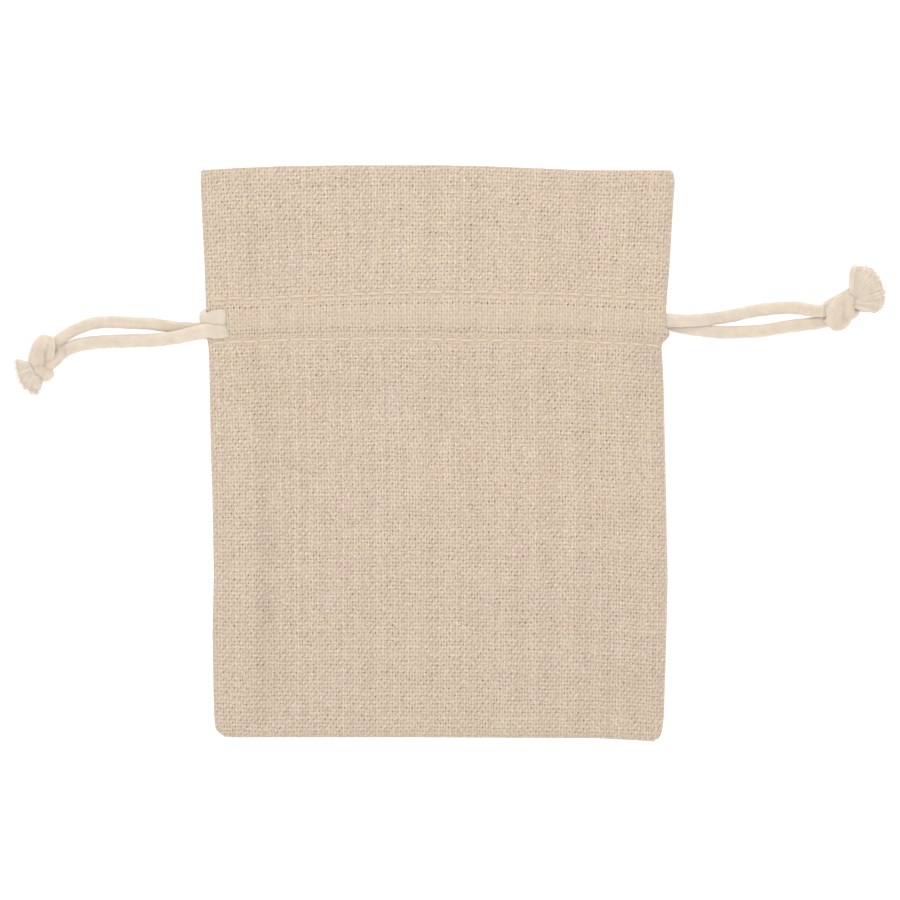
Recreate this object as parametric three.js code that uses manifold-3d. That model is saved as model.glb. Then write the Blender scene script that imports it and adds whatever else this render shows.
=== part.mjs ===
// Small linen gift pouch with two drawstrings, empty and lying flat on its back, mouth towards +Y.
// Millimetres, +Z up. The pouch lies on z = 0, with its origin in the middle of the cloth's underside.
import * as THREE from 'three';
import { mergeVertices } from 'three/addons/utils/BufferGeometryUtils.js';
import Module from 'manifold-3d';

const wasm = await Module();
wasm.setup();
const { Manifold, Mesh: SolidMesh } = wasm;

// Cloth: one wall, a wall with the turned-in hem, and the seam allowances inside.
const LAYER = 1.0;
const HEM_WALL = 1.7;
const HEM_END = 14.5;
const SEAM_WIDTH = 10.4;
const SEAM_RISE = 0.6;
const SEAM_LAYERS = 0.7;
const SIDE_WALL = 1.3;
const EDGE_ROUND = 1.7;
const STITCH_PULL = 0.6;
const STITCH_REACH = 2.2;

// Cords: round where they are free, pressed flatter in the casing, two side by side.
const CORD_RADIUS = 1.4;
const CORD_FLAT = 0.82;
const CORD_SIDES = 8;
const CORD_STEP = 4.2;
const PIECE_GAP = 0.3;
const LANE_SPACE = 3.1;
const TUNNEL_HEIGHT = 2 * (CORD_RADIUS * CORD_FLAT + PIECE_GAP);
const TUNNEL_HALF = LANE_SPACE / 2 + CORD_RADIUS + PIECE_GAP - 0.05;

// Casing, from the underside up: back wall, channel, wall, hollow, wall, channel, front wall.
const BACK_Z = LAYER + TUNNEL_HEIGHT / 2;
const INNER_BACK = LAYER + TUNNEL_HEIGHT + LAYER;
const INNER_FRONT = INNER_BACK + PIECE_GAP;
const FRONT_Z = INNER_FRONT + LAYER + TUNNEL_HEIGHT / 2;
const CASING_TOP = FRONT_Z + TUNNEL_HEIGHT / 2 + LAYER;
const CASING_SHIFT = 4.3;
const LEFT_MOUTH_X = -46.3;
const RIGHT_INNER_X = 44.6;
const LEFT_LOOP_X = -50.8;
const RIGHT_LOOP_X = 49.6;
const LOOP_RADIUS = 2.5;
const OUT = 60;

// Tables: each row is [position, value] unless its columns are named.
// Side edges of the cloth as [y, left x, right x].
const SIDES = [
  [-63.0, -46.2, 48.6], [-62.1, -47.6, 49.0], [-61.2, -48.4, 49.3], [-60.0, -48.9, 49.6],
  [-56.8, -49.3, 49.8], [-40.3, -49.6, 50.4], [-27.1, -49.3, 50.7], [-10.6, -49.6, 50.4],
  [2.6, -50.0, 50.1], [15.9, -50.2, 49.8], [22.5, -50.3, 49.5], [27.5, -50.6, 50.1],
  [32.4, -50.9, 50.3], [42.3, -51.3, 51.1], [55.5, -52.0, 51.9], [60.4, -52.2, 52.2],
  [62.0, -51.9, 51.9], [63.2, -51.2, 51.2],
];
// Lines across the cloth as [x, y].
const BOTTOM = [[-50, -62.3], [-44, -62.6], [-5, -62.6], [35, -62.8], [45, -63.2], [50, -63.1]];
const STITCH_LOW = [
  [-50, 24.0], [-46, 24.2], [-30, 24.8], [-10, 25.0], [10, 24.6], [27, 24.5], [40, 23.9], [50, 23.35],
];
const STITCH_HIGH = [[-50, 33.6], [-37, 33.9], [-10, 35.0], [8, 35.2], [27, 34.8], [39, 34.1], [50, 33.7]];
const MOUTH = [
  [-52, 62.1], [-44, 62.6], [-35, 63.0], [-20, 63.2], [0, 63.2], [10, 63.0], [20, 62.6], [32, 62.1],
];
const LANES = [
  [-50, 28.4], [-46, 28.5], [-30, 29.1], [-10, 29.3], [10, 28.95], [27, 28.75], [40, 28.1], [50, 27.55],
];
const LINES = { bottom: -62.7, low: 24.7, high: 34.7, mouth: 62.9 };
const CASING_MID = LINES.low + CASING_SHIFT;

// Profile of the front as [row, height in the middle, height of its side edge, height of the lower edge].
const PROFILE = [
  [-62.7, 1.9, 1.9, 1.1], [-62.2, 2.45, 1.9, 1.1], [-61.35, 2.75, 1.9, 1.1], [-60.5, 2.9, 1.9, 1.1],
  [-50, 3.0, 1.9, 1.1], [-10, 3.0, 1.9, 1.1],
  [3, 3.25, 2.0, 1.1], [10, 3.75, 2.2, 1.1], [HEM_END - 1, 4.15, 2.4, 1.1], [HEM_END + 1, 4.75, 2.7, 1.1],
  [19, 5.9, 3.7, 1.0], [22.5, 7.0, 5.3, 0.9], [LINES.low - 0.4, 7.6, 6.6, 0.6], [LINES.low, 7.7, 7.2, 0.6],
  [LINES.low + 0.4, 8.8, 8.4, 0.6], [LINES.low + 1.1, 9.8, 9.4, 0.5], [LINES.low + 2.1, 10.15, 9.6, 0.5],
  [CASING_MID, CASING_TOP + 0.1, 9.6, 0.5], [CASING_MID + 2.2, 10.1, 9.5, 0.5],
  [CASING_MID + 3.4, 9.6, 8.8, 0.5],
  [CASING_MID + 4.6, 8.6, 7.4, 0.6], [LINES.high - 0.4, 7.8, 6.2, 0.8], [LINES.high + 0.2, 7.4, 5.7, 0.9],
  [LINES.high + 2.0, 7.3, 5.0, 1.0], [41, 6.5, 4.1, 1.1], [48, 5.6, 3.4, 1.1], [56, 4.95, 2.9, 1.1],
  [61.5, 4.7, 2.7, 0.9], [62.3, 4.5, 2.7, 0.7], [LINES.mouth, 3.9, 2.6, 0.6],
];
// Hollow between front and back as [row, floor of the hollow, thickness of the front].
const HOLLOW = [
  [-61.4, 1.0, 1.0], [-20, 1.0, 1.0], [HEM_END - 0.3, 1.0, 1.0], [HEM_END + 0.3, HEM_WALL, HEM_WALL],
  [20.8, HEM_WALL, HEM_WALL], [LINES.low - 0.5, 2.7, HEM_WALL], [LINES.low + 0.6, 4.2, 3.4],
  [LINES.low + 1.6, INNER_BACK, 4.9], [CASING_MID + 2.6, INNER_BACK, 4.9], [CASING_MID + 3.8, 4.2, 3.7],
  [CASING_MID + 5.2, 2.8, 2.0], [LINES.high + 1.2, 2.2, HEM_WALL], [38.5, HEM_WALL, HEM_WALL],
  [56, HEM_WALL, HEM_WALL], [66, HEM_WALL, HEM_WALL],
];

// Rounding of the edge underneath as [inset, share of the edge's height].
const UNDER_EDGE = [[0, 1], [0.45, 0.3], [1.2, 0]];
const WIDTH = 100;
// Divisions across the cloth, as shares of its width, and along it, as rows: [from, to, parts].
const ACROSS = [
  [0, 0.004, 1], [0.004, 0.012, 1], [0.012, 0.09, 3], [0.09, 0.12, 2], [0.12, 0.88, 18],
  [0.88, 0.91, 2], [0.91, 0.988, 3], [0.988, 0.996, 1], [0.996, 1, 1],
];
const ALONG = [
  [LINES.bottom, -62.2, 1], [-62.2, -60.5, 2], [-60.5, -50, 2], [-50, -5, 7], [-5, HEM_END - 1, 3],
  [HEM_END - 1, HEM_END + 1, 2], [HEM_END + 1, 22.5, 2], [22.5, LINES.low - 0.4, 1],
  [LINES.low - 0.4, LINES.low + 0.4, 2], [LINES.low + 0.4, LINES.low + 2.1, 2],
  [LINES.low + 2.1, CASING_MID, 1], [CASING_MID, CASING_MID + 4.6, 3],
  [CASING_MID + 4.6, LINES.high - 0.4, 1], [LINES.high - 0.4, LINES.high + 0.2, 1],
  [LINES.high + 0.2, LINES.high + 2, 1], [LINES.high + 2, 61.5, 6], [61.5, 62.3, 1], [62.3, LINES.mouth, 1],
];
const HOLLOW_ACROSS = [[0, 0.09, 2], [0.09, 0.115, 1], [0.115, 0.885, 9], [0.885, 0.91, 1], [0.91, 1, 2]];
const HOLLOW_ALONG = [
  [-61.4, -60, 1], [-60, -20, 4], [-20, HEM_END - 0.3, 3], [HEM_END - 0.3, HEM_END + 0.3, 1],
  [HEM_END + 0.3, 20.8, 1], [20.8, LINES.low - 0.5, 1], [LINES.low - 0.5, LINES.low + 0.6, 1],
  [LINES.low + 0.6, LINES.low + 1.6, 1], [LINES.low + 1.6, CASING_MID + 2.6, 1],
  [CASING_MID + 2.6, CASING_MID + 3.8, 1], [CASING_MID + 3.8, CASING_MID + 5.2, 1],
  [CASING_MID + 5.2, LINES.high + 1.2, 1], [LINES.high + 1.2, 38.5, 1], [38.5, 60, 4], [60, 66, 1],
];

// Free strands as [x, y, z], from the knot to the casing.
const LEFT_FRONT = [
  [-80.0, 23.35, 1.45], [-76.4, 24.0, 1.45], [-72.5, 24.35, 1.45], [-67.2, 24.5, 1.5], [-63.7, 24.55, 1.9],
  [-60.1, 24.95, 2.9], [-56.6, 25.4, 4.3], [-53.1, 26.35, 6.1], [-50.0, 27.0, 7.1],
];
const LEFT_BACK = [
  [-80.0, 26.7, 1.45], [-76.4, 28.15, 1.45], [-72.5, 28.65, 1.45], [-67.2, 28.5, 1.45], [-63.7, 28.3, 1.45],
  [-60.1, 27.85, 1.45], [-56.6, 27.45, 1.5], [-53.1, 27.15, 1.75], [-50.0, 27.0, 2.2],
];
const RIGHT_FRONT = [
  [84.0, 31.05, 2.7], [82.3, 31.3, 2.55], [80.0, 31.7, 1.8], [77.5, 31.85, 1.45], [73.0, 31.6, 1.45],
  [69.4, 31.05, 1.5],
  [65.9, 30.35, 1.8], [62.3, 29.8, 2.5], [58.8, 29.25, 3.8], [55.0, 28.95, 5.7], [51.5, 28.95, 7.15],
];
const RIGHT_BACK = [
  [84.0, 28.5, 1.45], [81.7, 28.2, 1.45], [76.4, 27.5, 1.45], [71.2, 26.6, 1.45], [67.6, 26.3, 1.45],
  [62.3, 26.2, 1.45], [57.5, 26.55, 1.5], [54.3, 27.3, 2.1], [51.8, 28.65, 2.7],
];

// Straight interpolation in one column of a table.
function lookup(table, at, column = 1) {
  if (at <= table[0][0]) return table[0][column];
  for (let i = 1; i < table.length; i += 1) {
    const [a, b] = [table[i - 1], table[i]];
    if (at <= b[0]) return a[column] + ((b[column] - a[column]) * (at - a[0])) / (b[0] - a[0]);
  }
  return table[table.length - 1][column];
}

const clamp = (value, low, high) => Math.min(high, Math.max(low, value));
const smooth = (t) => clamp(t, 0, 1) ** 2 * (3 - 2 * clamp(t, 0, 1));

// Moves a straight row of the cloth onto the photographed lines.
function rowY(row, x) {
  const keys = [
    [LINES.bottom, lookup(BOTTOM, x) - LINES.bottom],
    [LINES.low, lookup(STITCH_LOW, x) - LINES.low],
    [LINES.high, lookup(STITCH_HIGH, x) - LINES.high],
    [LINES.mouth, lookup(MOUTH, x) - LINES.mouth],
  ];
  return row + lookup(keys, row);
}

// A point of the cloth from its share across and its row.
function place(share, row, inset = 0) {
  const left = lookup(SIDES, row, 1) + inset;
  const right = lookup(SIDES, row, 2) - inset;
  const x = left + (right - left) * share;
  return { x, y: rowY(row, x), side: Math.min(x - left, right - x) + inset };
}

// Height of the front at a point, with its seam allowances, its rounded sides and a soft unevenness.
function frontHeight(at, row) {
  const edge = lookup(PROFILE, row, 2);
  const casing = smooth((row - 18) / 7) * smooth((42 - row) / 6);
  const seam = SEAM_RISE * smooth((SEAM_WIDTH - at.side) / 1.6) * (1 - casing);
  const calm = smooth((row - LINES.bottom) / 6) * smooth((LINES.mouth - row) / 4) * (1 - 0.8 * casing);
  const wave = 0.16 * Math.sin(at.x * 0.16 + 1.1) * Math.sin(row * 0.12 + 0.4)
    + 0.1 * Math.sin(at.x * 0.31 - row * 0.21) + 0.08 * Math.cos(at.x * 0.07 + row * 0.3);
  const full = lookup(PROFILE, row, 1) + seam + wave * calm;
  const reach = EDGE_ROUND * (1 + 0.8 * smooth((full - 3.5) / 3) * (1 - casing) - 0.4 * casing);
  const t = clamp(at.side / reach, 0, 1);
  return edge + (full - edge) * Math.sqrt(1 - (1 - t) ** 2);
}

// Manifold solid from points and triangles.
function solid(points, faces) {
  const mesh = new SolidMesh({
    numProp: 3,
    vertProperties: Float32Array.from(points.flat()),
    triVerts: Uint32Array.from(faces.flat()),
  });
  mesh.merge();
  return new Manifold(mesh);
}

// Manifold solid from a three.js geometry.
function fromGeometry(geometry) {
  geometry.deleteAttribute('normal');
  geometry.deleteAttribute('uv');
  const merged = mergeVertices(geometry, 1e-4);
  return new Manifold(new SolidMesh({
    numProp: 3,
    vertProperties: Float32Array.from(merged.attributes.position.array),
    triVerts: Uint32Array.from(merged.index.array),
  }));
}

// Closed solid from rings of points, each ring with as many points as the others.
function rings(list) {
  const count = list[0].length;
  const points = list.flat();
  const faces = [];
  for (let i = 0; i + 1 < list.length; i += 1) {
    for (let j = 0; j < count; j += 1) {
      const k = (j + 1) % count;
      const [a, b, c, d] = [i * count + j, i * count + k, (i + 1) * count + k, (i + 1) * count + j];
      faces.push([a, b, c], [a, c, d]);
    }
  }
  const last = (list.length - 1) * count;
  for (let j = 1; j + 1 < count; j += 1) {
    faces.push([0, j + 1, j]);
    faces.push([last, last + j, last + j + 1]);
  }
  const made = solid(points, faces);
  return made.volume() < 0 ? solid(points, faces.map(([a, b, c]) => [a, c, b])) : made;
}

// Closed solid between a lower and an upper grid of points.
function slab(low, high, wide) {
  const tall = low.length / wide;
  const shift = low.length;
  const faces = [];
  for (let j = 0; j + 1 < tall; j += 1) {
    for (let i = 0; i + 1 < wide; i += 1) {
      const [a, b, c, d] = [j * wide + i, j * wide + i + 1, (j + 1) * wide + i + 1, (j + 1) * wide + i];
      faces.push([a, c, b], [a, d, c]);
      faces.push([a + shift, b + shift, c + shift], [a + shift, c + shift, d + shift]);
    }
  }
  rimOf(wide, tall).forEach((a, k, rim) => {
    const b = rim[(k + 1) % rim.length];
    faces.push([a, b, b + shift], [a, b + shift, a + shift]);
  });
  return solid([...low, ...high], faces);
}

// Indices round the rim of a grid: near side, right side, far side, left side.
function rimOf(wide, tall) {
  const rim = [];
  for (let i = 0; i < wide - 1; i += 1) rim.push(i);
  for (let j = 0; j < tall - 1; j += 1) rim.push(j * wide + wide - 1);
  for (let i = wide - 1; i > 0; i -= 1) rim.push((tall - 1) * wide + i);
  for (let j = tall - 1; j > 0; j -= 1) rim.push(j * wide);
  return rim;
}

// Spread of positions with some fixed ones: [from, to, parts] rows joined end to end.
function spread(spans) {
  const list = [spans[0][0]];
  spans.forEach(([from, to, parts]) => {
    for (let i = 1; i <= parts; i += 1) list.push(from + ((to - from) * i) / parts);
  });
  return list;
}

// The cloth with its outside shape only.
function clothOutside() {
  const shares = spread(ACROSS);
  const rows = spread(ALONG);
  const wide = shares.length;
  const tall = rows.length;
  const points = [];
  const faces = [];
  const upper = (i, j) => j * wide + i;
  rows.forEach((row) => shares.forEach((share) => {
    const at = place(share, row);
    points.push([at.x, at.y, frontHeight(at, row)]);
  }));
  for (let j = 0; j + 1 < tall; j += 1) {
    for (let i = 0; i + 1 < wide; i += 1) {
      const [a, b, c, d] = [upper(i, j), upper(i + 1, j), upper(i + 1, j + 1), upper(i, j + 1)];
      if ((i + j) % 2) faces.push([a, b, c], [a, c, d]);
      else faces.push([a, b, d], [b, c, d]);
    }
  }
  const rim = rimOf(wide, tall);
  let before = rim;
  UNDER_EDGE.forEach(([inset, rise]) => {
    const now = rim.map((index) => {
      const share = clamp(shares[index % wide], inset / WIDTH, 1 - inset / WIDTH);
      const row = rows[Math.floor(index / wide)];
      const at = place(share, clamp(row, LINES.bottom + inset, LINES.mouth - inset));
      points.push([at.x, at.y, lookup(PROFILE, row, 3) * rise]);
      return points.length - 1;
    });
    now.forEach((a, k) => {
      const n = (k + 1) % now.length;
      faces.push([before[k], a, now[n]], [before[k], now[n], before[n]]);
    });
    before = now;
  });
  const near = before.slice(0, wide);
  const right = before.slice(wide - 1, wide + tall - 1);
  const far = before.slice(wide + tall - 2, 2 * wide + tall - 2).reverse();
  const left = [before[0], ...before.slice(2 * wide + tall - 3).reverse()];
  const half = Math.floor(wide / 2);
  for (let i = 0; i < half; i += 1) {
    faces.push([left[1], near[i + 1], near[i]]);
    faces.push([left[tall - 2], far[i], far[i + 1]]);
  }
  for (let i = half; i + 1 < wide; i += 1) {
    faces.push([right[1], near[i + 1], near[i]]);
    faces.push([right[tall - 2], far[i], far[i + 1]]);
  }
  faces.push([left[1], right[1], near[half]], [left[tall - 2], far[half], right[tall - 2]]);
  for (let j = 1; j + 2 < tall; j += 1) {
    faces.push([left[j], left[j + 1], right[j]], [right[j], left[j + 1], right[j + 1]]);
  }
  return solid(points, faces);
}

// The hollow between front and back, open at the mouth.
function clothHollow() {
  const shares = spread(HOLLOW_ACROSS);
  const rows = spread(HOLLOW_ALONG);
  const low = [];
  const high = [];
  rows.forEach((row) => {
    const casing = smooth((row - 21) / 4) * smooth((38 - row) / 4);
    shares.forEach((share) => {
      const at = place(share, row, SIDE_WALL);
      const top = frontHeight(at, Math.min(row, 61.5));
      const layers = SEAM_LAYERS * smooth((SEAM_WIDTH - at.side) / 1.2) * (1 - casing);
      let floor = lookup(HOLLOW, row, 1) + layers;
      let roof = top - lookup(HOLLOW, row, 2);
      if (row > LINES.low && row < CASING_MID + 3) roof = Math.max(roof, INNER_FRONT);
      if (lookup(HOLLOW, row, 1) === INNER_BACK) {
        floor = INNER_BACK;
        roof = INNER_FRONT;
      }
      if (roof - floor < PIECE_GAP) {
        const mid = (roof + floor) / 2;
        floor = mid - PIECE_GAP / 2;
        roof = mid + PIECE_GAP / 2;
      }
      low.push([at.x, at.y, floor]);
      high.push([at.x, at.y, roof]);
    });
  });
  return slab(low, high, shares.length);
}

// Middle of the casing's channels.
const laneY = (x) => lookup(LANES, x);

// One channel for the cords, along the casing.
function tunnel(z) {
  const section = [];
  const radius = TUNNEL_HEIGHT / 2;
  for (let i = 0; i < 12; i += 1) {
    const side = i < 6 ? 1 : -1;
    const angle = ((i % 6) / 5 - 0.5) * Math.PI;
    section.push([side * (TUNNEL_HALF - radius + Math.cos(angle) * radius), side * Math.sin(angle) * radius]);
  }
  const list = spread([[-OUT, OUT, 15]]).map((x) => section.map(([y, dz]) => [x, laneY(x) + y, z + dz]));
  return rings(list);
}

// Box from its lowest and highest corners.
function box([x0, y0, z0], [x1, y1, z1]) {
  const shape = new THREE.BoxGeometry(x1 - x0, y1 - y0, z1 - z0);
  return fromGeometry(shape.translate((x0 + x1) / 2, (y0 + y1) / 2, (z0 + z1) / 2));
}

// Shallow channel under the cloth where a row of stitches lifts it off the surface.
function lift(line) {
  return rings(spread([[-OUT, OUT, 15]]).map((x) => {
    const y = lookup(line, x);
    const [near, far] = [y - STITCH_REACH, y + STITCH_REACH];
    return [[x, near, -1], [x, far, -1], [x, far, 0], [x, y, STITCH_PULL], [x, near, 0]];
  }));
}

// The whole pouch as one piece of cloth: hollow, with a channel in front and behind, open at its ends.
function cloth() {
  const left = laneY(LEFT_MOUTH_X);
  const right = laneY(RIGHT_LOOP_X);
  const slotFar = right + TUNNEL_HALF + PIECE_GAP;
  return clothOutside()
    .subtract(clothHollow())
    .subtract(tunnel(BACK_Z))
    .subtract(tunnel(FRONT_Z))
    .subtract(box([-OUT, left - TUNNEL_HALF, -1], [LEFT_MOUTH_X, left + TUNNEL_HALF, CASING_TOP + 5]))
    .subtract(box([RIGHT_INNER_X, right - TUNNEL_HALF, BACK_Z], [OUT, slotFar, FRONT_Z]))
    .subtract(lift(STITCH_LOW))
    .subtract(lift(STITCH_HIGH));
}

// A smooth curve through points, stepped closer together where it bends.
class Route extends THREE.Curve {
  constructor(points, step, turn) {
    super();
    const stops = points.map((p) => new THREE.Vector3(...p));
    const curve = new THREE.CatmullRomCurve3(stops, false, 'centripetal');
    this.fine = curve.getPoints(points.length * 24);
    this.cost = [0];
    for (let i = 1; i < this.fine.length; i += 1) {
      const a = this.fine[i].clone().sub(this.fine[i - 1]);
      const b = this.fine[Math.min(i + 1, this.fine.length - 1)].clone().sub(this.fine[i]);
      const bend = b.length() > 0 ? a.angleTo(b) : 0;
      this.cost.push(this.cost[i - 1] + a.length() / step + bend / turn);
    }
    this.steps = Math.round(this.cost[this.cost.length - 1]);
  }

  getPoint(t) {
    const at = t * this.cost[this.cost.length - 1];
    const i = clamp(this.cost.findIndex((c) => c >= at), 1, this.fine.length - 1);
    const share = (at - this.cost[i - 1]) / (this.cost[i] - this.cost[i - 1]);
    return this.fine[i - 1].clone().lerp(this.fine[i], clamp(share, 0, 1));
  }

  getPointAt(t) {
    return this.getPoint(t);
  }

  getTangentAt(t) {
    return this.getTangent(t);
  }
}

// Solid round cord along points.
function cord(points, radius, step = CORD_STEP, turn = 0.5) {
  const section = new THREE.Shape(Array.from({ length: CORD_SIDES }, (_, k) => {
    const angle = (2 * Math.PI * (k + 0.5)) / CORD_SIDES;
    return new THREE.Vector2(radius * Math.cos(angle), radius * Math.sin(angle));
  }));
  const route = new Route(points, step, turn);
  return new THREE.ExtrudeGeometry(section, { steps: route.steps, bevelEnabled: false, extrudePath: route });
}

// Half circle round a side seam, from the front channel to the back one.
function loop(turnX, y, side) {
  const centre = turnX - side * LOOP_RADIUS;
  const middle = (FRONT_Z + BACK_Z) / 2;
  return [0.5, 0.3, 0.1, -0.1, -0.3, -0.5].map((t) => [
    centre + side * LOOP_RADIUS * Math.cos(t * Math.PI), y, middle + LOOP_RADIUS * Math.sin(t * Math.PI),
  ]);
}

// A whole drawstring: in along the front, round the far side seam, out along the back.
function drawstring(front, back, side, lane, turnX) {
  const stops = [-41, -30, -15, 0, 15, 30, 44.3].map((x) => x * side);
  const inside = (z) => stops.map((x) => [x, laneY(x) + lane, z]);
  const mouthX = -side * 45.6;
  const geometry = cord([
    ...front,
    [mouthX, laneY(mouthX) + lane, FRONT_Z],
    ...inside(FRONT_Z),
    ...loop(turnX, laneY(turnX) + lane, side),
    ...inside(BACK_Z).reverse(),
    [mouthX, laneY(mouthX) + lane, BACK_Z],
    ...back.slice().reverse(),
  ], CORD_RADIUS);
  const position = geometry.attributes.position;
  for (let i = 0; i < position.count; i += 1) {
    const pressed = smooth((51 - Math.abs(position.getX(i))) / 4);
    const z = position.getZ(i);
    const centre = z > (FRONT_Z + BACK_Z) / 2 ? FRONT_Z : BACK_Z;
    const near = Math.abs(z - centre) < CORD_RADIUS * 1.2;
    if (near) position.setZ(i, z + (centre - z) * (1 - CORD_FLAT) * pressed);
  }
  return fromGeometry(geometry);
}

// A lock of frayed fibres as [share of its length, radius, height, rise of each layer].
const LOCK = [[0, 0.42, 1.0, 0.55], [0.55, 0.46, 0.85, 0.45], [1, 0.24, 0.5, 0.35]];

// Both ends of a drawstring in one overhand knot, with its frayed ends, as one body.
function knot(cords, fan, locks) {
  const parts = cords.map((points) => fromGeometry(cord(points, CORD_RADIUS, 2.6)));
  for (let i = 0; i < locks; i += 1) {
    const t = ((i + 0.5) / locks) * (fan.length - 1);
    const column = (c) => lookup(fan.map((row, k) => [k, ...row]), t, c + 1);
    const [angle, reach, rootX, rootY] = [0, 1, 2, 3].map(column);
    const layer = i % 3;
    const stations = LOCK.map(([u, radius, z, rise]) => [u, radius, z + rise * layer]);
    const heading = ((angle + 5 * Math.sin(i * 2.4)) * Math.PI) / 180;
    const length = reach * (0.9 + 0.1 * Math.sin(i * 1.7));
    const [dx, dy] = [Math.cos(heading), Math.sin(heading)];
    const bow = 0.35 * Math.sin(i * 3.1);
    parts.push(rings(stations.map(([u, radius, z]) => {
      const side = bow * Math.sin(u * Math.PI);
      const [x, y] = [rootX + dx * length * u - dy * side, rootY + dy * length * u + dx * side];
      return [90, 210, 330].map((a) => {
        const turn = (a * Math.PI) / 180;
        const across = radius * Math.cos(turn);
        return [x - dy * across, y + dx * across, z + radius * Math.sin(turn)];
      });
    })));
  }
  return outerShell(Manifold.union(parts));
}

// The outside of a body, with any closed pockets between its cords filled.
function outerShell(made) {
  return made.decompose().reduce((best, one) => (one.volume() > best.volume() ? one : best));
}

// Cords of the left knot as [x, y, z]: two strands going through it, two turns over them.
const KNOT_LEFT = [
  [[-80.5, 26.4, 1.45], [-83.3, 24.4, 1.6], [-86.3, 21.6, 1.8], [-88.9, 18.6, 1.7]],
  [[-80.5, 23.15, 1.45], [-83.0, 22.0, 1.5], [-86.0, 19.4, 1.5], [-88.6, 17.2, 1.5]],
  [
    [-86.2, 24.0, 1.5], [-86.4, 24.4, 2.9], [-87.4, 22.9, 4.3],
    [-88.0, 20.5, 4.7], [-87.6, 18.2, 3.9], [-86.3, 16.6, 1.7],
  ],
  [[-85.8, 23.9, 1.5], [-85.6, 23.9, 3.2], [-85.3, 21.9, 4.5], [-84.8, 20.4, 3.9], [-84.0, 19.8, 1.6]],
];
// Cords of the right knot.
const KNOT_RIGHT = [
  [[84.6, 31.0, 2.7], [87.4, 31.2, 2.6], [90.6, 32.8, 2.2], [93.2, 34.2, 1.9]],
  [[84.6, 28.6, 1.45], [87.2, 29.4, 1.5], [90.4, 31.2, 1.5], [93.0, 32.6, 1.5]],
  [
    [88.3, 28.9, 1.5], [87.8, 28.4, 2.8], [87.4, 29.9, 4.5],
    [87.7, 31.7, 4.9], [88.2, 33.0, 3.8], [88.6, 33.1, 1.6],
  ],
  [[90.8, 30.7, 1.5], [90.4, 30.6, 3.2], [90.2, 32.2, 4.7], [90.5, 33.8, 4.2], [91.1, 34.3, 1.8]],
];
// Frayed ends as [heading in degrees, length, root x, root y].
const FRAY_LEFT = [
  [168, 4.4, -89.2, 19.0], [190, 4.2, -89.0, 18.6], [215, 4.6, -88.8, 18.0],
  [240, 5.0, -88.6, 17.6], [262, 5.2, -88.3, 17.3], [276, 5.0, -87.9, 17.2],
];
const FRAY_RIGHT = [
  [97, 7.0, 92.2, 33.9], [78, 7.2, 92.6, 34.0], [60, 7.4, 92.8, 33.8], [42, 6.9, 93.0, 33.6],
  [22, 6.0, 93.1, 33.4], [4, 5.5, 93.1, 33.0], [-14, 5.2, 93.0, 32.6], [-30, 3.8, 92.8, 32.4],
];

// Named mesh with a material of its own.
function part(name, made, colour) {
  const mesh = made.getMesh();
  const stride = mesh.numProp;
  const points = new Float32Array((mesh.vertProperties.length / stride) * 3);
  for (let i = 0; i < points.length / 3; i += 1) {
    for (let c = 0; c < 3; c += 1) points[i * 3 + c] = mesh.vertProperties[i * stride + c];
  }
  const raw = new THREE.BufferGeometry();
  raw.setAttribute('position', new THREE.BufferAttribute(points, 3));
  raw.setIndex(Array.from(mesh.triVerts));
  const geometry = mergeVertices(raw, 1e-5);
  geometry.computeVertexNormals();
  const item = new THREE.Mesh(geometry, new THREE.MeshStandardMaterial({ color: colour, roughness: 0.95 }));
  item.name = name;
  return item;
}

const CLOTH_COLOUR = 0xd6c3ad;
const CORD_COLOUR = 0xe9dcca;
const lower = -LANE_SPACE / 2;
const upper = LANE_SPACE / 2;
const object = new THREE.Group();
object.name = 'gift_pouch';
object.add(
  part('pouch', cloth(), CLOTH_COLOUR),
  part('drawstring_left', drawstring(LEFT_FRONT, LEFT_BACK, 1, lower, RIGHT_LOOP_X), CORD_COLOUR),
  part('drawstring_right', drawstring(RIGHT_FRONT, RIGHT_BACK, -1, upper, LEFT_LOOP_X), CORD_COLOUR),
  part('knot_left', knot(KNOT_LEFT, FRAY_LEFT, 36), CORD_COLOUR),
  part('knot_right', knot(KNOT_RIGHT, FRAY_RIGHT, 44), CORD_COLOUR),
);

export default object;
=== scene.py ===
import math

import bpy
import numpy as np
from mathutils.kdtree import KDTree
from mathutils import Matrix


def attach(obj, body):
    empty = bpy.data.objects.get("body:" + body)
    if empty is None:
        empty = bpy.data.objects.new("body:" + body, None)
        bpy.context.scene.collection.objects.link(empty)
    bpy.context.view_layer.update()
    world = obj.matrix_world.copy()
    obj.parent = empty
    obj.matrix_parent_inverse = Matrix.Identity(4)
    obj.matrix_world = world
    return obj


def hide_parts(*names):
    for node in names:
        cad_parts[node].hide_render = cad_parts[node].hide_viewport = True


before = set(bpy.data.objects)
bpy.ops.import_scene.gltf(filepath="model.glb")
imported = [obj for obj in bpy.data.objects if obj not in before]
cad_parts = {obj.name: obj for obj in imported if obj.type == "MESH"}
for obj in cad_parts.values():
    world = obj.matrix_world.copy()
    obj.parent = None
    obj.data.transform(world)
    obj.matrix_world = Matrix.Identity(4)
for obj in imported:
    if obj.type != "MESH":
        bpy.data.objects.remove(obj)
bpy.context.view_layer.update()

# Camera
# The photograph looks straight down on the pouch from far above, so the view is a long lens with
# next to no perspective. It stands a little to the right of the pouch, as the right cord reaches further.
VIEW_MIDDLE = (0.00279, 0.00044)
VIEW_SIDE = 0.19827
LENS_MM = 400
SENSOR_MM = 36
SEEN_LEVEL = 0.004
FAR_LIMIT = 20

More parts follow.
